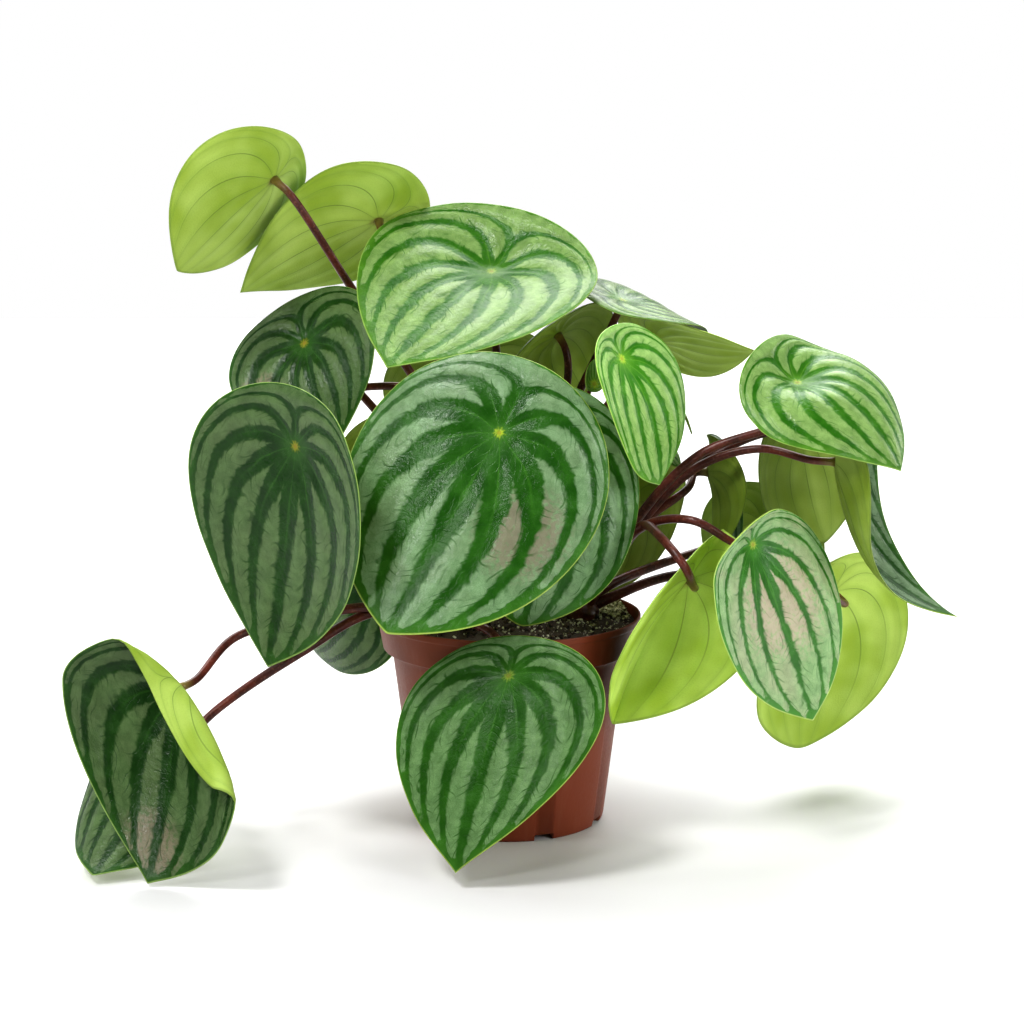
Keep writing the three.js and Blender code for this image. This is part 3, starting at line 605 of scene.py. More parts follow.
def grow_blade(name, index, leaf, upper_material, lower_material):
    """A closed blade on rays and rings from the stalk: two skins half a thickness from the middle
    surface that meet at the margin, with a puff of sine squared between the veins."""
    around = round_angles(BLADE_RAYS)
    share = (1 - np.cos(around)) / 2
    side = np.where(around <= np.pi, 1, -1)
    margin_x = (share - leaf["share"]) * leaf["length"]
    margin_y = side * half_width(leaf, share)
    angle = np.degrees(np.abs(np.arctan2(margin_y, margin_x)))
    rings = RING_SHARES[:, None]
    x, y = rings * margin_x, rings * margin_y
    veins = vein_place(np.broadcast_to(angle, x.shape).copy(), np.broadcast_to(rings, x.shape))
    normal = blade_normal(leaf, x * 0.995, y * 0.995)
    middle = blade_point(leaf, x, y)
    puff = leaf["puff"] * np.sin(np.pi * veins) ** 2
    puff = puff * smooth_step(rings, *PUFF_RISES) * (1 - smooth_step(rings, *PUFF_FALLS))
    uneven = UNEVEN_HEIGHT * np.sin(x * 0.13 + index) * np.sin(y * 0.17 + 2 * index) * rings**2
    closing = np.clip((rings - MARGIN_START) / (1 - MARGIN_START), 0, 1)
    skin = 0.5 * BLADE_THICKNESS * np.sqrt(1 - closing**2)
    upper = middle + normal * (puff + uneven + skin)[..., None]
    lower = middle + normal * (puff + uneven - skin)[..., None]
    centre, up = blade_centre(leaf)
    half = up * BLADE_THICKNESS / 2
    points = [upper.reshape(-1, 3), lower[:-1].reshape(-1, 3), [centre + half, centre - half]]
    points = np.concatenate(points)
    ring_count = len(RING_SHARES)
    upper_rows = np.arange(ring_count * BLADE_RAYS).reshape(ring_count, BLADE_RAYS)
    lower_rows = np.concatenate([upper_rows[:-1] + ring_count * BLADE_RAYS, upper_rows[-1:]])
    faces = []
    for rows, hub, turn in ((upper_rows, len(points) - 2, 1), (lower_rows, len(points) - 1, -1)):
        here, beyond = rows[:-1], rows[1:]
        quads = np.stack([here, np.roll(here, -1, 1), np.roll(beyond, -1, 1), beyond], -1)
        fan = np.stack([np.full(BLADE_RAYS, hub), np.roll(rows[0], -1), rows[0]], -1)
        faces += quads.reshape(-1, 4)[:, ::turn].tolist() + fan[:, ::turn].tolist()
    blade = surface_object(name + "_blade", points, faces, [upper_material, lower_material])
    below = np.arange(len(faces)) >= len(faces) // 2
    blade.data.polygons.foreach_set("material_index", below.astype(np.int32))

    per_point = lambda grid: np.concatenate([grid.reshape(-1), grid[:-1].reshape(-1), np.zeros(2)])
    flat_x, flat_y = per_point(x), per_point(y)
    carry_number(blade, "vein_place", per_point(veins))
    carry_number(blade, "ring_share", per_point(np.broadcast_to(rings, x.shape)))
    carry_number(blade, "reach", np.hypot(flat_x, flat_y))
    carry_number(blade, "tone_and_painted_light", np.full(len(points), leaf["tone_and_painted_light"]))
    blush_x, blush_y, blush_size = leaf["blush"]
    from_blush = np.hypot(flat_x - blush_x, flat_y - blush_y) / blush_size
    carry_number(blade, "blush", np.exp(-np.minimum(from_blush, 9) ** 2))
    flat = np.stack([flat_x + FLAT_SPACING * index, flat_y, np.zeros(len(points))], -1)
    attribute = blade.data.attributes.new("flat_place", "FLOAT_VECTOR", "POINT")
    attribute.data.foreach_set("vector", flat.astype(np.float32).ravel())

    corner_point = np.zeros(len(blade.data.loops), np.int32)
    blade.data.loops.foreach_get("vertex_index", corner_point)
    corner_below = np.repeat(below, [len(face) for face in faces])
    spread_x = ((flat_x - flat_x.min()) / np.ptp(flat_x))[corner_point]
    spread_y = ((flat_y - flat_y.min()) / np.ptp(flat_y))[corner_point]
    layout = np.stack([
        UV_EDGE + (0.5 - 2 * UV_EDGE) * spread_y + 0.5 * corner_below,
        UV_EDGE + (1 - 2 * UV_EDGE) * spread_x,
    ], -1)
    uv_map = blade.data.uv_layers.new(name="OFBake")
    uv_map.data.foreach_set("uv", layout.astype(np.float32).ravel())
    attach(blade, "root")
    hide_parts(name)


# The upper sides' stripes.
# Dark green bands run along ten main veins, with silver between them that breaks up into teeth and
# fine cross veins. The middle and the margin are all dark, the edge is a thin yellow-green line,
# and a small yellow dot marks the stalk.

stripes = bpy.data.node_groups.new("leaf stripes", "ShaderNodeTree")
for label in ("Silver", "Band", "Vein", "Rim", "Blush", "Dot"):
    stripes.interface.new_socket(label, in_out="INPUT", socket_type="NodeSocketColor")
for label in ("Band Width", "Cross Veins", "Rosy Sheen", "Dark Centre"):
    stripes.interface.new_socket(label, in_out="INPUT", socket_type="NodeSocketFloat")
stripes.interface.new_socket("Color", in_out="OUTPUT", socket_type="NodeSocketColor")
for label in ("Roughness", "Height"):
    stripes.interface.new_socket(label, in_out="OUTPUT", socket_type="NodeSocketFloat")


def read_number(tree, label):
    """A number that the mesh carries at each point."""
    return add_node(tree, "ShaderNodeAttribute", attribute_name=label).outputs["Fac"]


def flat_place(tree):
    """Where the point lies on the flat blade, in millimetres, apart from every other blade's."""
    return add_node(tree, "ShaderNodeAttribute", attribute_name="flat_place").outputs["Vector"]


def brightened(colour, brightness):
    """A colour times a brightness."""
    return add_node(
        colour.id_data, "ShaderNodeVectorMath", (0, colour), ("Scale", brightness), operation="SCALE",
    ).outputs[0]


# How far the point lies from the nearest main vein and side vein: 0 on it, 0.5 halfway.
given = add_node(stripes, "NodeGroupInput").outputs
place = flat_place(stripes)
ring = read_number(stripes, "ring_share")
reach = read_number(stripes, "reach")
wobble = calc("MULTIPLY_ADD", cloudy(place, 0.06), 0.3, -0.15)
wandering = calc("ABSOLUTE", calc("ADD", read_number(stripes, "vein_place"), wobble))
from_vein = calc("PINGPONG", wandering, 0.5)
shifted = calc("MULTIPLY_ADD", cloudy(place, 0.07, 0.5), 30.0, reach)
side_veins = calc("MULTIPLY", calc("MULTIPLY_ADD", from_vein, -15.0, shifted), 0.18)
from_side_vein = calc("PINGPONG", side_veins, 0.5)

# The dark band's edge has teeth, and the band is wider towards the middle and the margin.
teeth = calc("MULTIPLY_ADD", cloudy(place, 0.3, 5.0), 0.22, -0.11)
teeth = calc("ADD", teeth, ramp(from_side_vein, 0.0, 0.2, 0.03, -0.01))
band_edge = calc("ADD", given["Band Width"], teeth)
band_edge = calc("ADD", band_edge, ramp(ring, 0.06, given["Dark Centre"], 0.44, 0.0))
band_edge = calc("ADD", band_edge, ramp(ring, 0.4, 0.9, 0.02, -0.04))
margin = calc("MULTIPLY_ADD", cloudy(place, 0.16, 3.0), 0.1, ring)
band_edge = calc("ADD", band_edge, ramp(margin, 0.985, 1.055, 0.0, 0.5))
silver_share = ramp(calc("SUBTRACT", from_vein, band_edge), -0.05, 0.09)

# Side veins and a fine net cross the silver.
side_line = ramp(from_side_vein, 0.05, 0.13, 1.0, 0.0)
side_line = calc("MULTIPLY", side_line, ramp(from_vein, 0.22, 0.5, 1.0, 0.25))
side_line = calc("MULTIPLY", side_line, ramp(cloudy(place, 0.12), 0.42, 0.6, 0.1, 1.0))
jitter = add_node(stripes, "ShaderNodeTexNoise", ("Vector", place), ("Scale", 0.35), ("Detail", 2.0))
net_moved = add_node(
    stripes, "ShaderNodeVectorMath", (0, jitter.outputs["Color"]), (1, (2.6, 2.6, 0.0)),
    (2, place), operation="MULTIPLY_ADD",
).outputs[0]
net = add_node(
    stripes, "ShaderNodeTexVoronoi", ("Vector", net_moved), ("Scale", 0.3),
    feature="DISTANCE_TO_EDGE", voronoi_dimensions="2D",
).outputs["Distance"]
net_line = calc("MULTIPLY", ramp(net, 0.01, 0.06, 1.0, 0.0), ramp(ring, 0.5, 0.95, 0.05, 0.25))
net_line = calc("MULTIPLY", calc("MAXIMUM", net_line, side_line), given["Cross Veins"])

# The silver is speckled, blotched and here and there rosy.
speckle = cloudy(place, 2.6, 3.0)
patches = cloudy(place, 0.11, 3.0)
silver = blend_colour(ramp(speckle, 0.3, 0.75, 0.3, 0.0), given["Silver"], given["Band"])
blotch = ramp(cloudy(place, 0.22, 4.0), 0.35, 0.65, 0.22, 0.0)
silver = blend_colour(blotch, silver, given["Band"])
rosy = calc("MULTIPLY", ramp(cloudy(place, 0.05, 3.0), 0.42, 0.62), given["Rosy Sheen"])
ragged = ramp(cloudy(place, 0.5, 4.0), 0.3, 0.6, 0.5, 1.0)
blushing = calc("MULTIPLY", read_number(stripes, "blush"), ragged)
rosy = calc("MAXIMUM", rosy, ramp(blushing, 0.2, 0.75, 0.0, 0.9))
silver = blend_colour(rosy, silver, given["Blush"])

# The band is paler along its vein and towards the margin.
band = blend_colour(ramp(patches, 0.3, 0.7, 0.0, 0.2), given["Band"], given["Vein"])
vein_line = calc("MULTIPLY", ramp(from_vein, 0.005, 0.07, 0.4, 0.0), ramp(ring, 0.25, 0.65, 1.0, 0.05))
band = blend_colour(vein_line, band, given["Vein"])
band = blend_colour(ramp(margin, 0.94, 1.05, 0.0, 0.5), band, given["Vein"])
surface = blend_colour(silver_share, band, silver)
surface = blend_colour(calc("MULTIPLY", net_line, silver_share), surface, given["Band"])

# A ragged pale star and the yellow dot mark the stalk, and the rim is a thin line.
star = calc("MULTIPLY_ADD", from_vein, 2.0, reach)
star = calc("MULTIPLY_ADD", cloudy(place, 0.8), 3.0, star)
surface = blend_colour(ramp(star, 3.0, 12.0, 0.5, 0.0), surface, given["Vein"])
surface = blend_colour(ramp(star, 2.4, 5.0, 0.72, 0.0), surface, given["Dot"])
surface = blend_colour(ramp(reach, 0.5, 1.4, 0.45, 0.0), surface, (0.2, 0.11, 0.02, 1))
surface = blend_colour(ramp(ring, 0.988, 0.997), surface, given["Rim"])
# Each leaf's brightness number, partly painted light and shade for how brightly that leaf is lit, is
# varied a little by soft random patches.
tone_and_painted_light = calc("ADD", read_number(stripes, "tone_and_painted_light"), ramp(patches, 0.25, 0.75, 0.9, 1.1))
gloss = calc("MULTIPLY_ADD", speckle, 0.1, ramp(patches, 0.3, 0.7, 0.06, 0.18))
gloss = calc("MULTIPLY_ADD", silver_share, -0.06, calc("ADD", gloss, 0.06))
relief = calc("MULTIPLY_ADD", cloudy(place, 0.55, 3.0), 1.6, calc("MULTIPLY", speckle, 0.4))
relief = calc("MULTIPLY", relief, ramp(ring, 0.05, 0.45, 0.35, 1.0))
relief = calc("SUBTRACT", relief, calc("MULTIPLY", net_line, 0.6))
add_node(
    stripes, "NodeGroupOutput",
    ("Color", brightened(surface, tone_and_painted_light)), ("Roughness", gloss), ("Height", relief),
)


def upper_side(name, shine, **looks):
    """A striped skin in its own colours and shares, with a waxy shine."""
    material, shader = finish_material(name, 0.35, ("Specular IOR Level", shine))
    pattern = add_node(shader.id_data, "ShaderNodeGroup", node_tree=stripes)
    for label, value in looks.items():
        full_value = (*value, 1) if isinstance(value, tuple) else value
        feed(pattern, (label.replace("_", " ").title(), full_value))
    feed(
        shader,
        ("Base Color", pattern.outputs["Color"]), ("Roughness", pattern.outputs["Roughness"]),
        ("Normal", bumpy(pattern.outputs["Height"], 0.6, 0.00028)),
    )
    return material


bright_side = upper_side(
    "leaf_bright_stripes", shine=0.15,
    silver=(0.27, 0.41, 0.135), band=(0.02, 0.13, 0.003), vein=(0.13, 0.3, 0.03),
    rim=(0.3, 0.46, 0.1), blush=(0.36, 0.3, 0.24), dot=(0.42, 0.54, 0.05),
    band_width=0.18, cross_veins=0.7, rosy_sheen=0.0, dark_centre=0.42,
)
green_side = upper_side(
    "leaf_green_stripes", shine=0.22,
    silver=(0.2, 0.32, 0.165), band=(0.011, 0.07, 0.003), vein=(0.06, 0.2, 0.02),
    rim=(0.36, 0.48, 0.1), blush=(0.19, 0.175, 0.12), dot=(0.44, 0.54, 0.03),
    band_width=0.2, cross_veins=0.8, rosy_sheen=0.1, dark_centre=0.68,
)
# A darker copy of the green stripes for the leaf over the pot: its darker silver is painted shade,
# standing for the shade of the leaves above it.
shaded_side = upper_side(
    "leaf_shaded_stripes", shine=0.1,
    silver=(0.165, 0.285, 0.115), band=(0.014, 0.075, 0.004), vein=(0.06, 0.2, 0.02),
    rim=(0.36, 0.48, 0.1), blush=(0.17, 0.15, 0.095), dot=(0.3, 0.42, 0.04),
    band_width=0.21, cross_veins=0.95, rosy_sheen=0.0, dark_centre=0.56,
)
deep_side = upper_side(
    "leaf_deep_stripes", shine=0.18,
    silver=(0.085, 0.14, 0.052), band=(0.006, 0.03, 0.003), vein=(0.03, 0.1, 0.012),
    rim=(0.2, 0.3, 0.08), blush=(0.17, 0.15, 0.1), dot=(0.26, 0.24, 0.015),
    band_width=0.2, cross_veins=0.7, rosy_sheen=0.06, dark_centre=0.5,
)
rosy_side = upper_side(
    "leaf_rosy_stripes", shine=0.25,
    silver=(0.25, 0.38, 0.18), band=(0.02, 0.1, 0.01), vein=(0.07, 0.24, 0.03),
    rim=(0.34, 0.46, 0.12), blush=(0.35, 0.3, 0.22), dot=(0.36, 0.42, 0.06),
    band_width=0.13, cross_veins=0.55, rosy_sheen=0.35, dark_centre=0.45,
)


# The undersides.
# Smooth lime green, matt, and paler than the upper side. The main veins show as fine darker lines
# that fan out from the stalk, and the bands of the upper side show through faintly.

under_material, under_shader = finish_material(
    "leaf_lime_underside", 0.55, ("Specular IOR Level", 0.1),
)
under_tree = under_shader.id_data
place = flat_place(under_tree)
ring = read_number(under_tree, "ring_share")
from_vein = calc("PINGPONG", read_number(under_tree, "vein_place"), 0.5)
fine = cloudy(place, 1.4, 3.0)
vein_line = calc("MULTIPLY", ramp(from_vein, 0.01, 0.035, 0.65, 0.0), ramp(ring, 0.5, 0.98, 1.0, 0.2))
# Soft random mottling between darker and paler lime; its darker patches are partly painted shade.
mottle_and_painted_shade = ramp(cloudy(place, 0.033), 0.3, 0.7)
lime = blend_colour(mottle_and_painted_shade, (0.24, 0.345, 0.035, 1), (0.37, 0.49, 0.11, 1))
for share, colour in (
    (ramp(from_vein, 0.1, 0.3, 0.14, 0.0), (0.14, 0.26, 0.04, 1)),
    (vein_line, (0.11, 0.17, 0.03, 1)),
    (ramp(fine, 0.45, 0.75, 0.0, 0.15), (0.15, 0.24, 0.04, 1)),
    (ramp(ring, 0.02, 0.09, 0.7, 0.0), (0.16, 0.1, 0.04, 1)),
    (ramp(ring, 0.975, 0.99, 0.0, 0.5), (0.13, 0.2, 0.04, 1)),
):
    lime = blend_colour(share, lime, colour)
# The underside is brightened or darkened by the leaf's brightness number, partly painted light and
# shade for how brightly that leaf is lit.
lime = brightened(lime, calc("ADD", read_number(under_tree, "tone_and_painted_light"), 1.0))
raised = calc("MULTIPLY_ADD", ramp(from_vein, 0.0, 0.05, 1.0, 0.0), 0.6, fine)
feed(under_shader, ("Base Color", lime), ("Normal", bumpy(raised, 0.35, 0.0004)))


# The two leaves at the top left.
# They stand highest, turned away, so that their lime undersides show, and how each stalk meets its
# blade well inside the margin.

leaves = {}


def grow_leaves(upper_material, **group):
    """Grows the blades of a group of leaves and keeps their values for the stalks."""
    for leaf_name, values in group.items():
        leaf = {**USUAL_LEAF, **values}
        grow_blade(leaf_name, len(leaves), leaf, upper_material, under_material)
        leaves[leaf_name] = leaf


grow_leaves(
    green_side,
    leaf_top_left=dict(
        crown="back", at=[-105, 10, 290], face=150, lean=54, turn=29, length=79, width=79,
        droop=-5, lobe=-8, cup=-22, twist=-22, taper=0.65, share=0.25,
        via=[[-32, 36, 178], [-72, 30, 240]], reach=10, tone_and_painted_light=0.13,
    ),
    leaf_top_left_behind=dict(
        crown="back", at=[-61, 50, 271], face=110, lean=41, turn=60, length=100, width=84,
        droop=23, lobe=-23, cup=-4, taper=0.85, skew=-0.03,
        via=[[-26, 44, 190], [-50, 36, 242]], reach=12, tone_and_painted_light=0.25,
    ),
)


# The bright leaves.
# The youngest full leaves: the large one on top, the small one beside the front leaf, one seen
# edge-on behind it and the one at the top right. Their silver is the palest, and most are puffed.

grow_leaves(
    bright_side,
    leaf_top=dict(
        crown="back", at=[-8, 25, 248], face=271, lean=28.5, turn=-30, length=126, width=111,
        droop=9, lobe=-37, cup=-13, taper=0.88, share=0.28, skew=0.03, dimple=5, puff=0.9,
        tone_and_painted_light=-0.2,
    ),
    leaf_small_bright=dict(
        crown="right", at=[48, -38, 214], face=321, lean=61, turn=16, length=76, width=64,
        droop=45, lobe=-10, cup=-10, share=0.19, via=[[46, 2, 150], [47, -6, 195]], reach=10,
        puff=0.7, tone_and_painted_light=0.4,
    ),
    leaf_upper_edge_on=dict(
        crown="back", at=[51, 10, 236], face=325, lean=22, turn=73, length=75, width=66,
        droop=30, lobe=20, cup=5, twist=12, tone_and_painted_light=-0.35,
    ),
    leaf_right_top=dict(
        crown="right", at=[126, -22, 202], face=274, lean=24, turn=49, length=85, width=81,
        droop=55, lobe=-39, cup=32, twist=-4, taper=0.79, share=0.25, skew=-0.04, dimple=7,
        via=[[58, 0, 138], [85, -10, 169]], reach=16, puff=0.8, tone_and_painted_light=-0.1,
    ),
)


# The green leaves at the front.
# The largest leaf hangs nearly upright before the crowns, and another stands close behind it. A
# third, in their shade, hangs over the rim and down the pot.

grow_leaves(
    green_side,
    leaf_front=dict(
        crown="left", at=[-4, -60, 185], face=264, lean=73, turn=-27, length=130, width=112,
        droop=-4, lobe=7, cup=22, taper=0.65, skew=-0.05,
        via=[[-27, -24, 150], [-26, -48, 177]], reach=8, puff=0.9, blush=(34, 29, 22),
    ),
    leaf_behind_front=dict(
        crown="right", at=[23, -32, 176], face=295, lean=73, turn=-17, length=108, width=85,
        droop=22, lobe=7, cup=11, taper=0.57, share=0.25, puff=0.8, tone_and_painted_light=0.35,
    ),
)
grow_leaves(
    shaded_side,
    leaf_over_pot=dict(
        crown="left", at=[0, -75, 84], face=251, lean=63, turn=-8, length=102, width=89,
        droop=7, lobe=-11, cup=15, taper=0.92, share=0.17, skew=-0.2,
        via=[[-18, -45, 101], [-6, -62, 98]], reach=4, tone_and_painted_light=-0.15,
    ),
)


# The dark leaves on the left.
# Older and duller leaves. Two hang on long stalks down to the table: the nearer one has its right
# side rolled over, so that a strip of its lime underside shows.

grow_leaves(
    deep_side,
    leaf_upper_left=dict(
        crown="left", at=[-93, 18, 216], face=233, lean=60, turn=34, length=80, width=80,
        droop=29, lobe=-6, cup=-10, share=0.31, skew=0.07, puff=0.8, tone_and_painted_light=0.2,
        blush=(20, -26, 14),
    ),
    leaf_left=dict(
        crown="left", at=[-89, -64, 180], face=234, lean=96, turn=-10, length=124, width=101,
        droop=-5, lobe=3, cup=-29, share=0.21, skew=0.05, tone_and_painted_light=0.15,
    ),
    leaf_floor_left=dict(
        crown="left", at=[-139, -72, 78], face=254, lean=81, turn=-2, length=101, width=100,
        droop=-20, lobe=-26, cup=-56, twist=-4, taper=0.88, share=0.19, skew=0.39,
        fold=dict(towards=138, start=-1.5, angle=178, radius=3.8),
        via=[[-58, -20, 102], [-92, -26, 98], [-120, -38, 92]], reach=10, puff=0.4,
        blush=(66, -1, 15),
    ),
    leaf_floor_left_behind=dict(
        crown="left", at=[-154, -50, 42], face=253, lean=55, turn=-4, length=84, width=66,
        droop=-25, cup=30, taper=0.7,
        via=[[-60, -18, 99], [-93, -26, 82], [-131, -28, 56]], reach=8,
    ),
    leaf_behind_rim=dict(
        crown="back", at=[-66, 52, 95], face=230, lean=73, turn=-54, length=82, width=74,
        droop=29, cup=15, via=[[-36, 42, 104], [-56, 55, 101]], reach=4,
    ),
)


# The leaf at the right front.
# A pale leaf with a rosy sheen and narrow bands that hangs before the others on the right, on a
# stalk that arches over to its top end.

grow_leaves(
    rosy_side,
    leaf_right_front=dict(
        crown="right", at=[104, -52, 136], face=314, lean=84, turn=22, length=104, width=78,
        droop=0, lobe=-55, cup=-5, share=0.14, skew=0.12,
        via=[[57, -22, 137], [79, -44, 145]], reach=8, tone_and_painted_light=0.35, blush=(30, 2, 30),
    ),
)


# The leaves that show their undersides.
# They hang on the right and among the others, turned away from the front, and two of them are
# creased along the midrib.

grow_leaves(
    green_side,
    leaf_upper_right_behind=dict(
        crown="back", at=[67, 32, 217], face=45, lean=35, turn=-75, length=67, width=58,
        droop=0, cup=10, tone_and_painted_light=0.6,
    ),
    leaf_centre_behind=dict(
        crown="back", at=[22, 18, 220], face=135, lean=50, turn=-45, length=66, width=56,
        droop=40, lobe=35, cup=15, tone_and_painted_light=0.05,
    ),
    leaf_right_folded=dict(
        crown="right", at=[144, -20, 167], face=352.5, lean=93.5, turn=9, length=121, width=67,
        droop=-72, lobe=22, cup=-58, twist=-13, taper=0.98, skew=-0.1,
        via=[[63, 6, 139], [86, 2, 162], [112, -6, 171]], reach=10, tone_and_painted_light=-0.15,
    ),
    leaf_right_behind=dict(
        crown="right", at=[136, 26, 176], face=118, lean=75, turn=-15, length=77, width=68,
        droop=25, cup=32, twist=8, taper=0.6,
        via=[[62, 12, 138], [88, 8, 163], [118, 6, 177]], reach=10, tone_and_painted_light=-0.3,
    ),
    leaf_right_narrow=dict(
        crown="right", at=[92, 24, 156], face=0, lean=86, length=68, width=38,
        droop=8, lobe=8, cup=-50, vee=25, taper=0.7, via=[[60, 6, 134], [82, 14, 150]], reach=5,
        tone_and_painted_light=-0.2,
    ),
    leaf_right_low=dict(
        crown="right", at=[79, -28, 116], face=113, lean=67, turn=26, length=102, width=87,
        droop=27, lobe=5, cup=1, vee=-40, taper=0.67, share=0.27, skew=0.12,
        via=[[57, -18, 137], [66, -53, 138], [74, -64, 129], [79, -50, 118]], reach=4, tone_and_painted_light=0.75,
    ),
    leaf_right_low_behind=dict(
        crown="right", at=[154, 40, 96], face=124, lean=65, turn=5, length=108, width=103,
        droop=30, lobe=31, cup=43, taper=0.48, share=0.25, skew=-0.02,
        via=[[74, 8, 110], [112, 3, 111], [140, 6, 104]], reach=9, tone_and_painted_light=0.25,
    ),
    leaf_right_inner=dict(
        crown="back", at=[56, 48, 138], face=50, lean=84, turn=18, length=82, width=70,
        lobe=-23, droop=12, cup=30, taper=0.86, share=0.35, skew=0.27, tone_and_painted_light=0.1,
    ),
    leaf_left_inner=dict(
        crown="back", at=[-53, 54, 166], face=110, lean=70, length=68, width=60,
    ),
)


# The young leaves.
# Two half-grown leaves and a rolled bud. They stand on thin stalks among the old ones, and are
# still nearly flat and smooth.

grow_leaves(
    bright_side,
    leaf_young_upper=dict(
        crown="right", at=[62, -4, 197], face=350, lean=16, length=34, width=22, dimple=0.5,
        stalk=0.6, reach=12, puff=0.2,
    ),
    leaf_young_lower=dict(
        crown="right", at=[62, 16, 176], face=0, lean=35, length=32, width=24, dimple=0.5,
        stalk=0.6, reach=12, puff=0.2,
    ),
    leaf_bud=dict(
        crown="back", at=[38, -4, 200], face=270, lean=90, turn=180, length=15, width=10,
        cup=-60, dimple=0, wave=0, stalk=0.5, reach=3, puff=0.0,
    ),
)


# The leaves at the back.
# The plant grows to all sides: these six face away from the front, and lean further over the
# lower they stand.

grow_leaves(
    green_side,
    leaf_back_upper=dict(
        crown="back", at=[-16, 78, 200], face=92, lean=60, length=100, width=92, puff=0.8,
    ),
    leaf_back_right=dict(
        crown="back", at=[30, 78, 146], face=68, lean=72, turn=-12, length=90, width=78,
        via=[[3, 60, 132]], reach=10,
    ),
    leaf_back_left=dict(
        crown="back", at=[-70, 94, 142], face=128, lean=70, turn=4, length=84, width=76,
        via=[[-14, 74, 126]], reach=10,
    ),
    leaf_back_low=dict(
        crown="back", at=[-4, 106, 106], face=92, lean=74, turn=5, length=88, width=78,
    ),
    leaf_back_far_left=dict(
        crown="back", at=[-95, 50, 197], face=142, lean=68, turn=-10, length=78, width=72,
        via=[[-36, 34, 190]], reach=10,
    ),
    leaf_back_far_right=dict(
        crown="right", at=[124, 64, 126], face=62, lean=72, turn=12, length=80, width=64,
    ),
)


# The crowns and the stalks.
# Three short woody crowns stand in the soil. Each leaf's round fleshy stalk leaves one of them, is
# thickest there, and runs in a long bend to the blade's underside. Stalks are red-brown and glossy.

CROWNS = {
    "left": dict(x=-16, y=-6, radius=9, top=103),
    "right": dict(x=32, y=2, radius=9, top=104),
    "back": dict(x=6, y=32, radius=10, top=105),
}
CROWN_ROOT_DEPTH = 70
CROWN_SIDES = 40
CROWN_RIDGES = 5
RIDGE_HEIGHT = 0.05
CROWN_CUT = 1.2
STALK_BASE_RADIUS = 2.4
STALK_TIP_RADIUS = 1.7
STALK_ROOT_DEPTH = 8
STALK_CLIMB = 0.55
ROOT_SWELLING, ROOT_SWELLING_LENGTH = 0.3, 8
TIP_SWELLING, TIP_SWELLING_LENGTH = 0.35, 1.6
STALK_BITE = 0.35
STALK_SIDES = 14
STALK_STEPS = 56


def smooth_line(stops, count):
    """A curve through the stops, a cubic on each stretch. The knots lie apart by the square root of
    the distance between the stops, and the two ends are carried on by mirrored stops."""
    stops = np.array(stops, float)
    stops = np.concatenate([[2 * stops[0] - stops[1]], stops, [2 * stops[-1] - stops[-2]]])
    pace = np.linalg.norm(np.diff(stops, axis=0), axis=1) ** 0.5
    pieces = []
    share = np.linspace(0, 1, count)[:, None]
    for k in range(1, len(stops) - 2):
        p0, p1, p2, p3 = stops[k - 1 : k + 3]
        d0, d1, d2 = pace[k - 1 : k + 2]
        start = ((p1 - p0) / d0 - (p2 - p0) / (d0 + d1) + (p2 - p1) / d1) * d1
        end = ((p2 - p1) / d1 - (p3 - p1) / (d1 + d2) + (p3 - p2) / d2) * d1
        cubic = 2 * p1 - 2 * p2 + start + end
        square = -3 * p1 + 3 * p2 - 2 * start - end
        pieces.append(p1 + share * start + share**2 * square + share**3 * cubic)
    return np.concatenate(pieces)


def stalk_line(leaf):
    """From inside the crown, past the leaf's own points or along a cubic that first climbs, and
    square onto the blade's underside, in even steps. It ends a little way inside the blade."""
    crown = CROWNS[leaf["crown"]]
    at, up = blade_centre(leaf)
    heading = unit(np.array([at[0] - crown["x"], at[1] - crown["y"], 0]))
    root = np.array([crown["x"], crown["y"], crown["top"] - STALK_ROOT_DEPTH])
    root = root + heading * crown["radius"] * 0.3
    crease = STALK_TIP_RADIUS * max(0, math.tan(math.radians(-leaf["vee"])))
    seat = at - up * (BLADE_THICKNESS / 2 + FIT_GAP + crease)
    before = seat - up * leaf["reach"]
    if leaf["via"]:
        line = smooth_line([root, *leaf["via"], before, seat], 60)
    else:
        leave = root + heading * 6 + [0, 0, STALK_CLIMB * (at[2] - root[2])]
        t = np.linspace(0, 1, 200)[:, None]
        line = (1 - t) ** 3 * root + 3 * t * (1 - t) ** 2 * leave
        line = line + 3 * t**2 * (1 - t) * before + t**3 * seat
    line = np.concatenate([line, [seat + up * (FIT_GAP + crease + STALK_BITE)]])
    gone = np.concatenate([[0], np.cumsum(np.linalg.norm(np.diff(line, axis=0), axis=1))])
    even = np.linspace(0, gone[-1], STALK_STEPS + 1)
    return np.stack([np.interp(even, gone, line[:, axis]) for axis in range(3)], -1), even


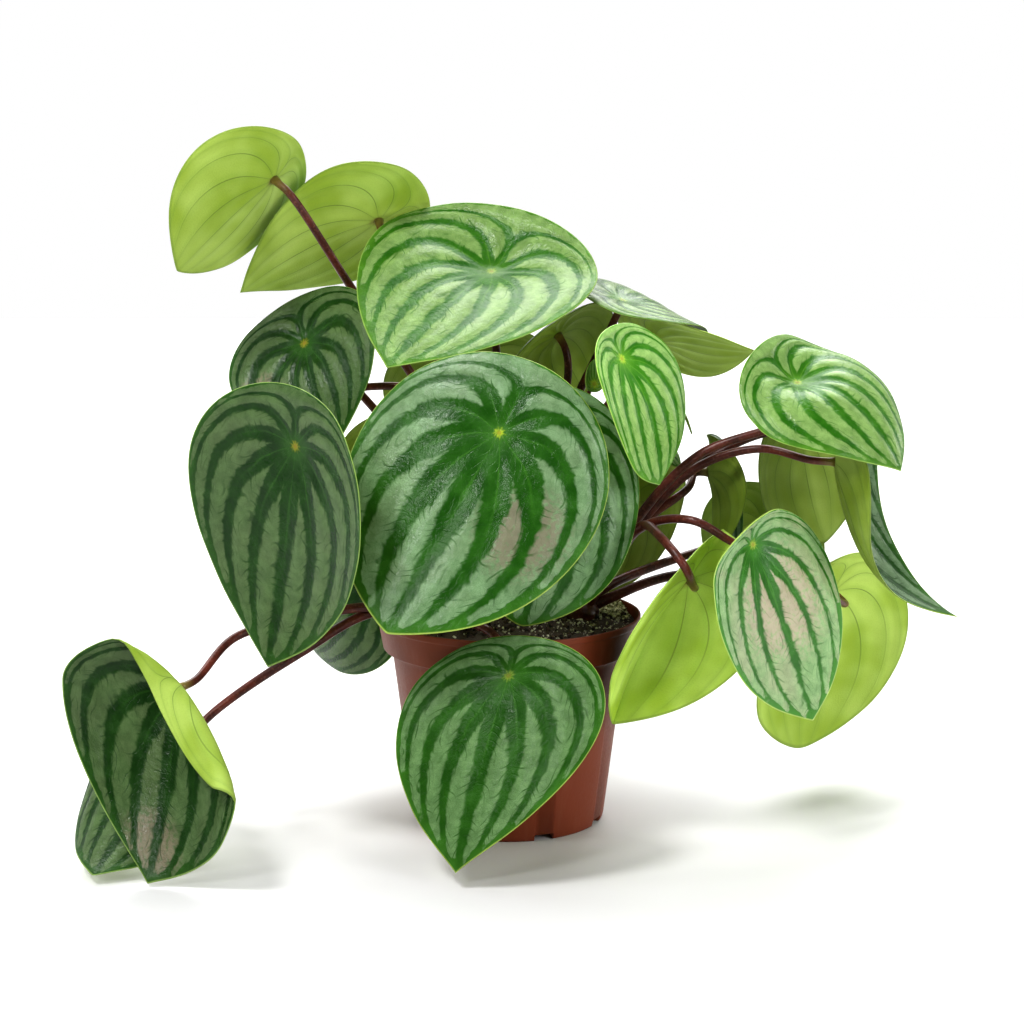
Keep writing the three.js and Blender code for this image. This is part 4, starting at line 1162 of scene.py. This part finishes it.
def stalk_tube(leaf):
    """A round tube: its radius falls evenly from root to blade and swells at both ends, and each
    ring's direction is the one before it, made square to the line again."""
    line, gone = stalk_line(leaf)
    heading = unit(np.gradient(line, axis=0))
    across = np.zeros_like(line)
    across[0] = np.cross(heading[0], [0.31, 0.95, 0.05])
    for step in range(1, len(line)):
        across[step] = across[step - 1] - heading[step] * (across[step - 1] @ heading[step])
    across = unit(across - heading * (across * heading).sum(1, keepdims=True))
    beside = np.cross(heading, across)
    share = gone / gone[-1]
    radius = leaf["stalk"] * (STALK_BASE_RADIUS + share * (STALK_TIP_RADIUS - STALK_BASE_RADIUS))
    swelling = 1 + ROOT_SWELLING * np.exp(-gone / ROOT_SWELLING_LENGTH)
    swelling = swelling + TIP_SWELLING * np.exp(-(gone[-1] - gone) / TIP_SWELLING_LENGTH)
    radius = radius * swelling
    angle = round_angles(STALK_SIDES)[:, None]
    ring = np.cos(angle) * across[:, None] + np.sin(angle) * beside[:, None]
    points = (line[:, None] + ring * radius[:, None, None]).reshape(-1, 3)
    shares = np.concatenate([np.repeat(share, STALK_SIDES), [0, 1]])
    return np.concatenate([points, line[[0, -1]]]), shares


def grow_crown(crown_name, material):
    """One crown's ridged stub with all its stalks."""
    crown = CROWNS[crown_name]
    wide, top = crown["radius"], crown["top"]
    stub_profile = rounded_profile([
        [0, CROWN_ROOT_DEPTH], [wide * 0.75, CROWN_ROOT_DEPTH], [wide, SOIL_EDGE],
        [wide, SOIL_EDGE + 5], [wide * 0.8, top - 4], [wide * 0.4, top], [0, top + 0.5],
    ], CROWN_CUT)
    stub = turned_points(stub_profile, round_angles(CROWN_SIDES))
    ridged = 1 + RIDGE_HEIGHT * np.sin(CROWN_RIDGES * np.arctan2(stub[:, 1], stub[:, 0]) + stub[:, 2])
    stub = stub * np.stack([ridged, ridged, np.ones(len(stub))], -1) + [crown["x"], crown["y"], 0]
    points, shares = [stub], [np.zeros(len(stub))]
    faces = turned_faces(len(stub_profile) - 2, CROWN_SIDES)
    for leaf in leaves.values():
        if leaf["crown"] != crown_name:
            continue
        tube, share = stalk_tube(leaf)
        offset = sum(len(part) for part in points)
        tube_faces = turned_faces(STALK_STEPS + 1, STALK_SIDES)
        faces += [[corner + offset for corner in face] for face in tube_faces]
        points.append(tube)
        shares.append(share)
    stalks = surface_object("stalks_" + crown_name, np.concatenate(points), faces, [material])
    carry_number(stalks, "share_along", np.concatenate(shares))
    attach(stalks, "root")
    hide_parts("crown_" + crown_name)


stalk_material, stalk_shader = finish_material("red_brown_stalk", 0.3, ("Specular IOR Level", 0.3))
place = object_place(stalk_shader)
along = read_number(stalk_shader.id_data, "share_along")
blotches = ramp(cloudy(place, 120.0, 3.0), 0.3, 0.7)
flecks = cloudy(place, 900.0)
skin = blend_colour(blotches, (0.042, 0.009, 0.006, 1), (0.12, 0.024, 0.015, 1))
skin = blend_colour(ramp(flecks, 0.5, 0.75, 0.0, 0.3), skin, (0.32, 0.12, 0.08, 1))
skin = blend_colour(ramp(along, 0.94, 1.0, 0.0, 0.45), skin, (0.3, 0.3, 0.06, 1))
feed(stalk_shader, ("Base Color", skin), ("Normal", bumpy(flecks, 0.2, 0.0003)))
for crown_name in CROWNS:
    grow_crown(crown_name, stalk_material)


{"cad": cad_box, "visual": [list(corner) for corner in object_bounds()]}
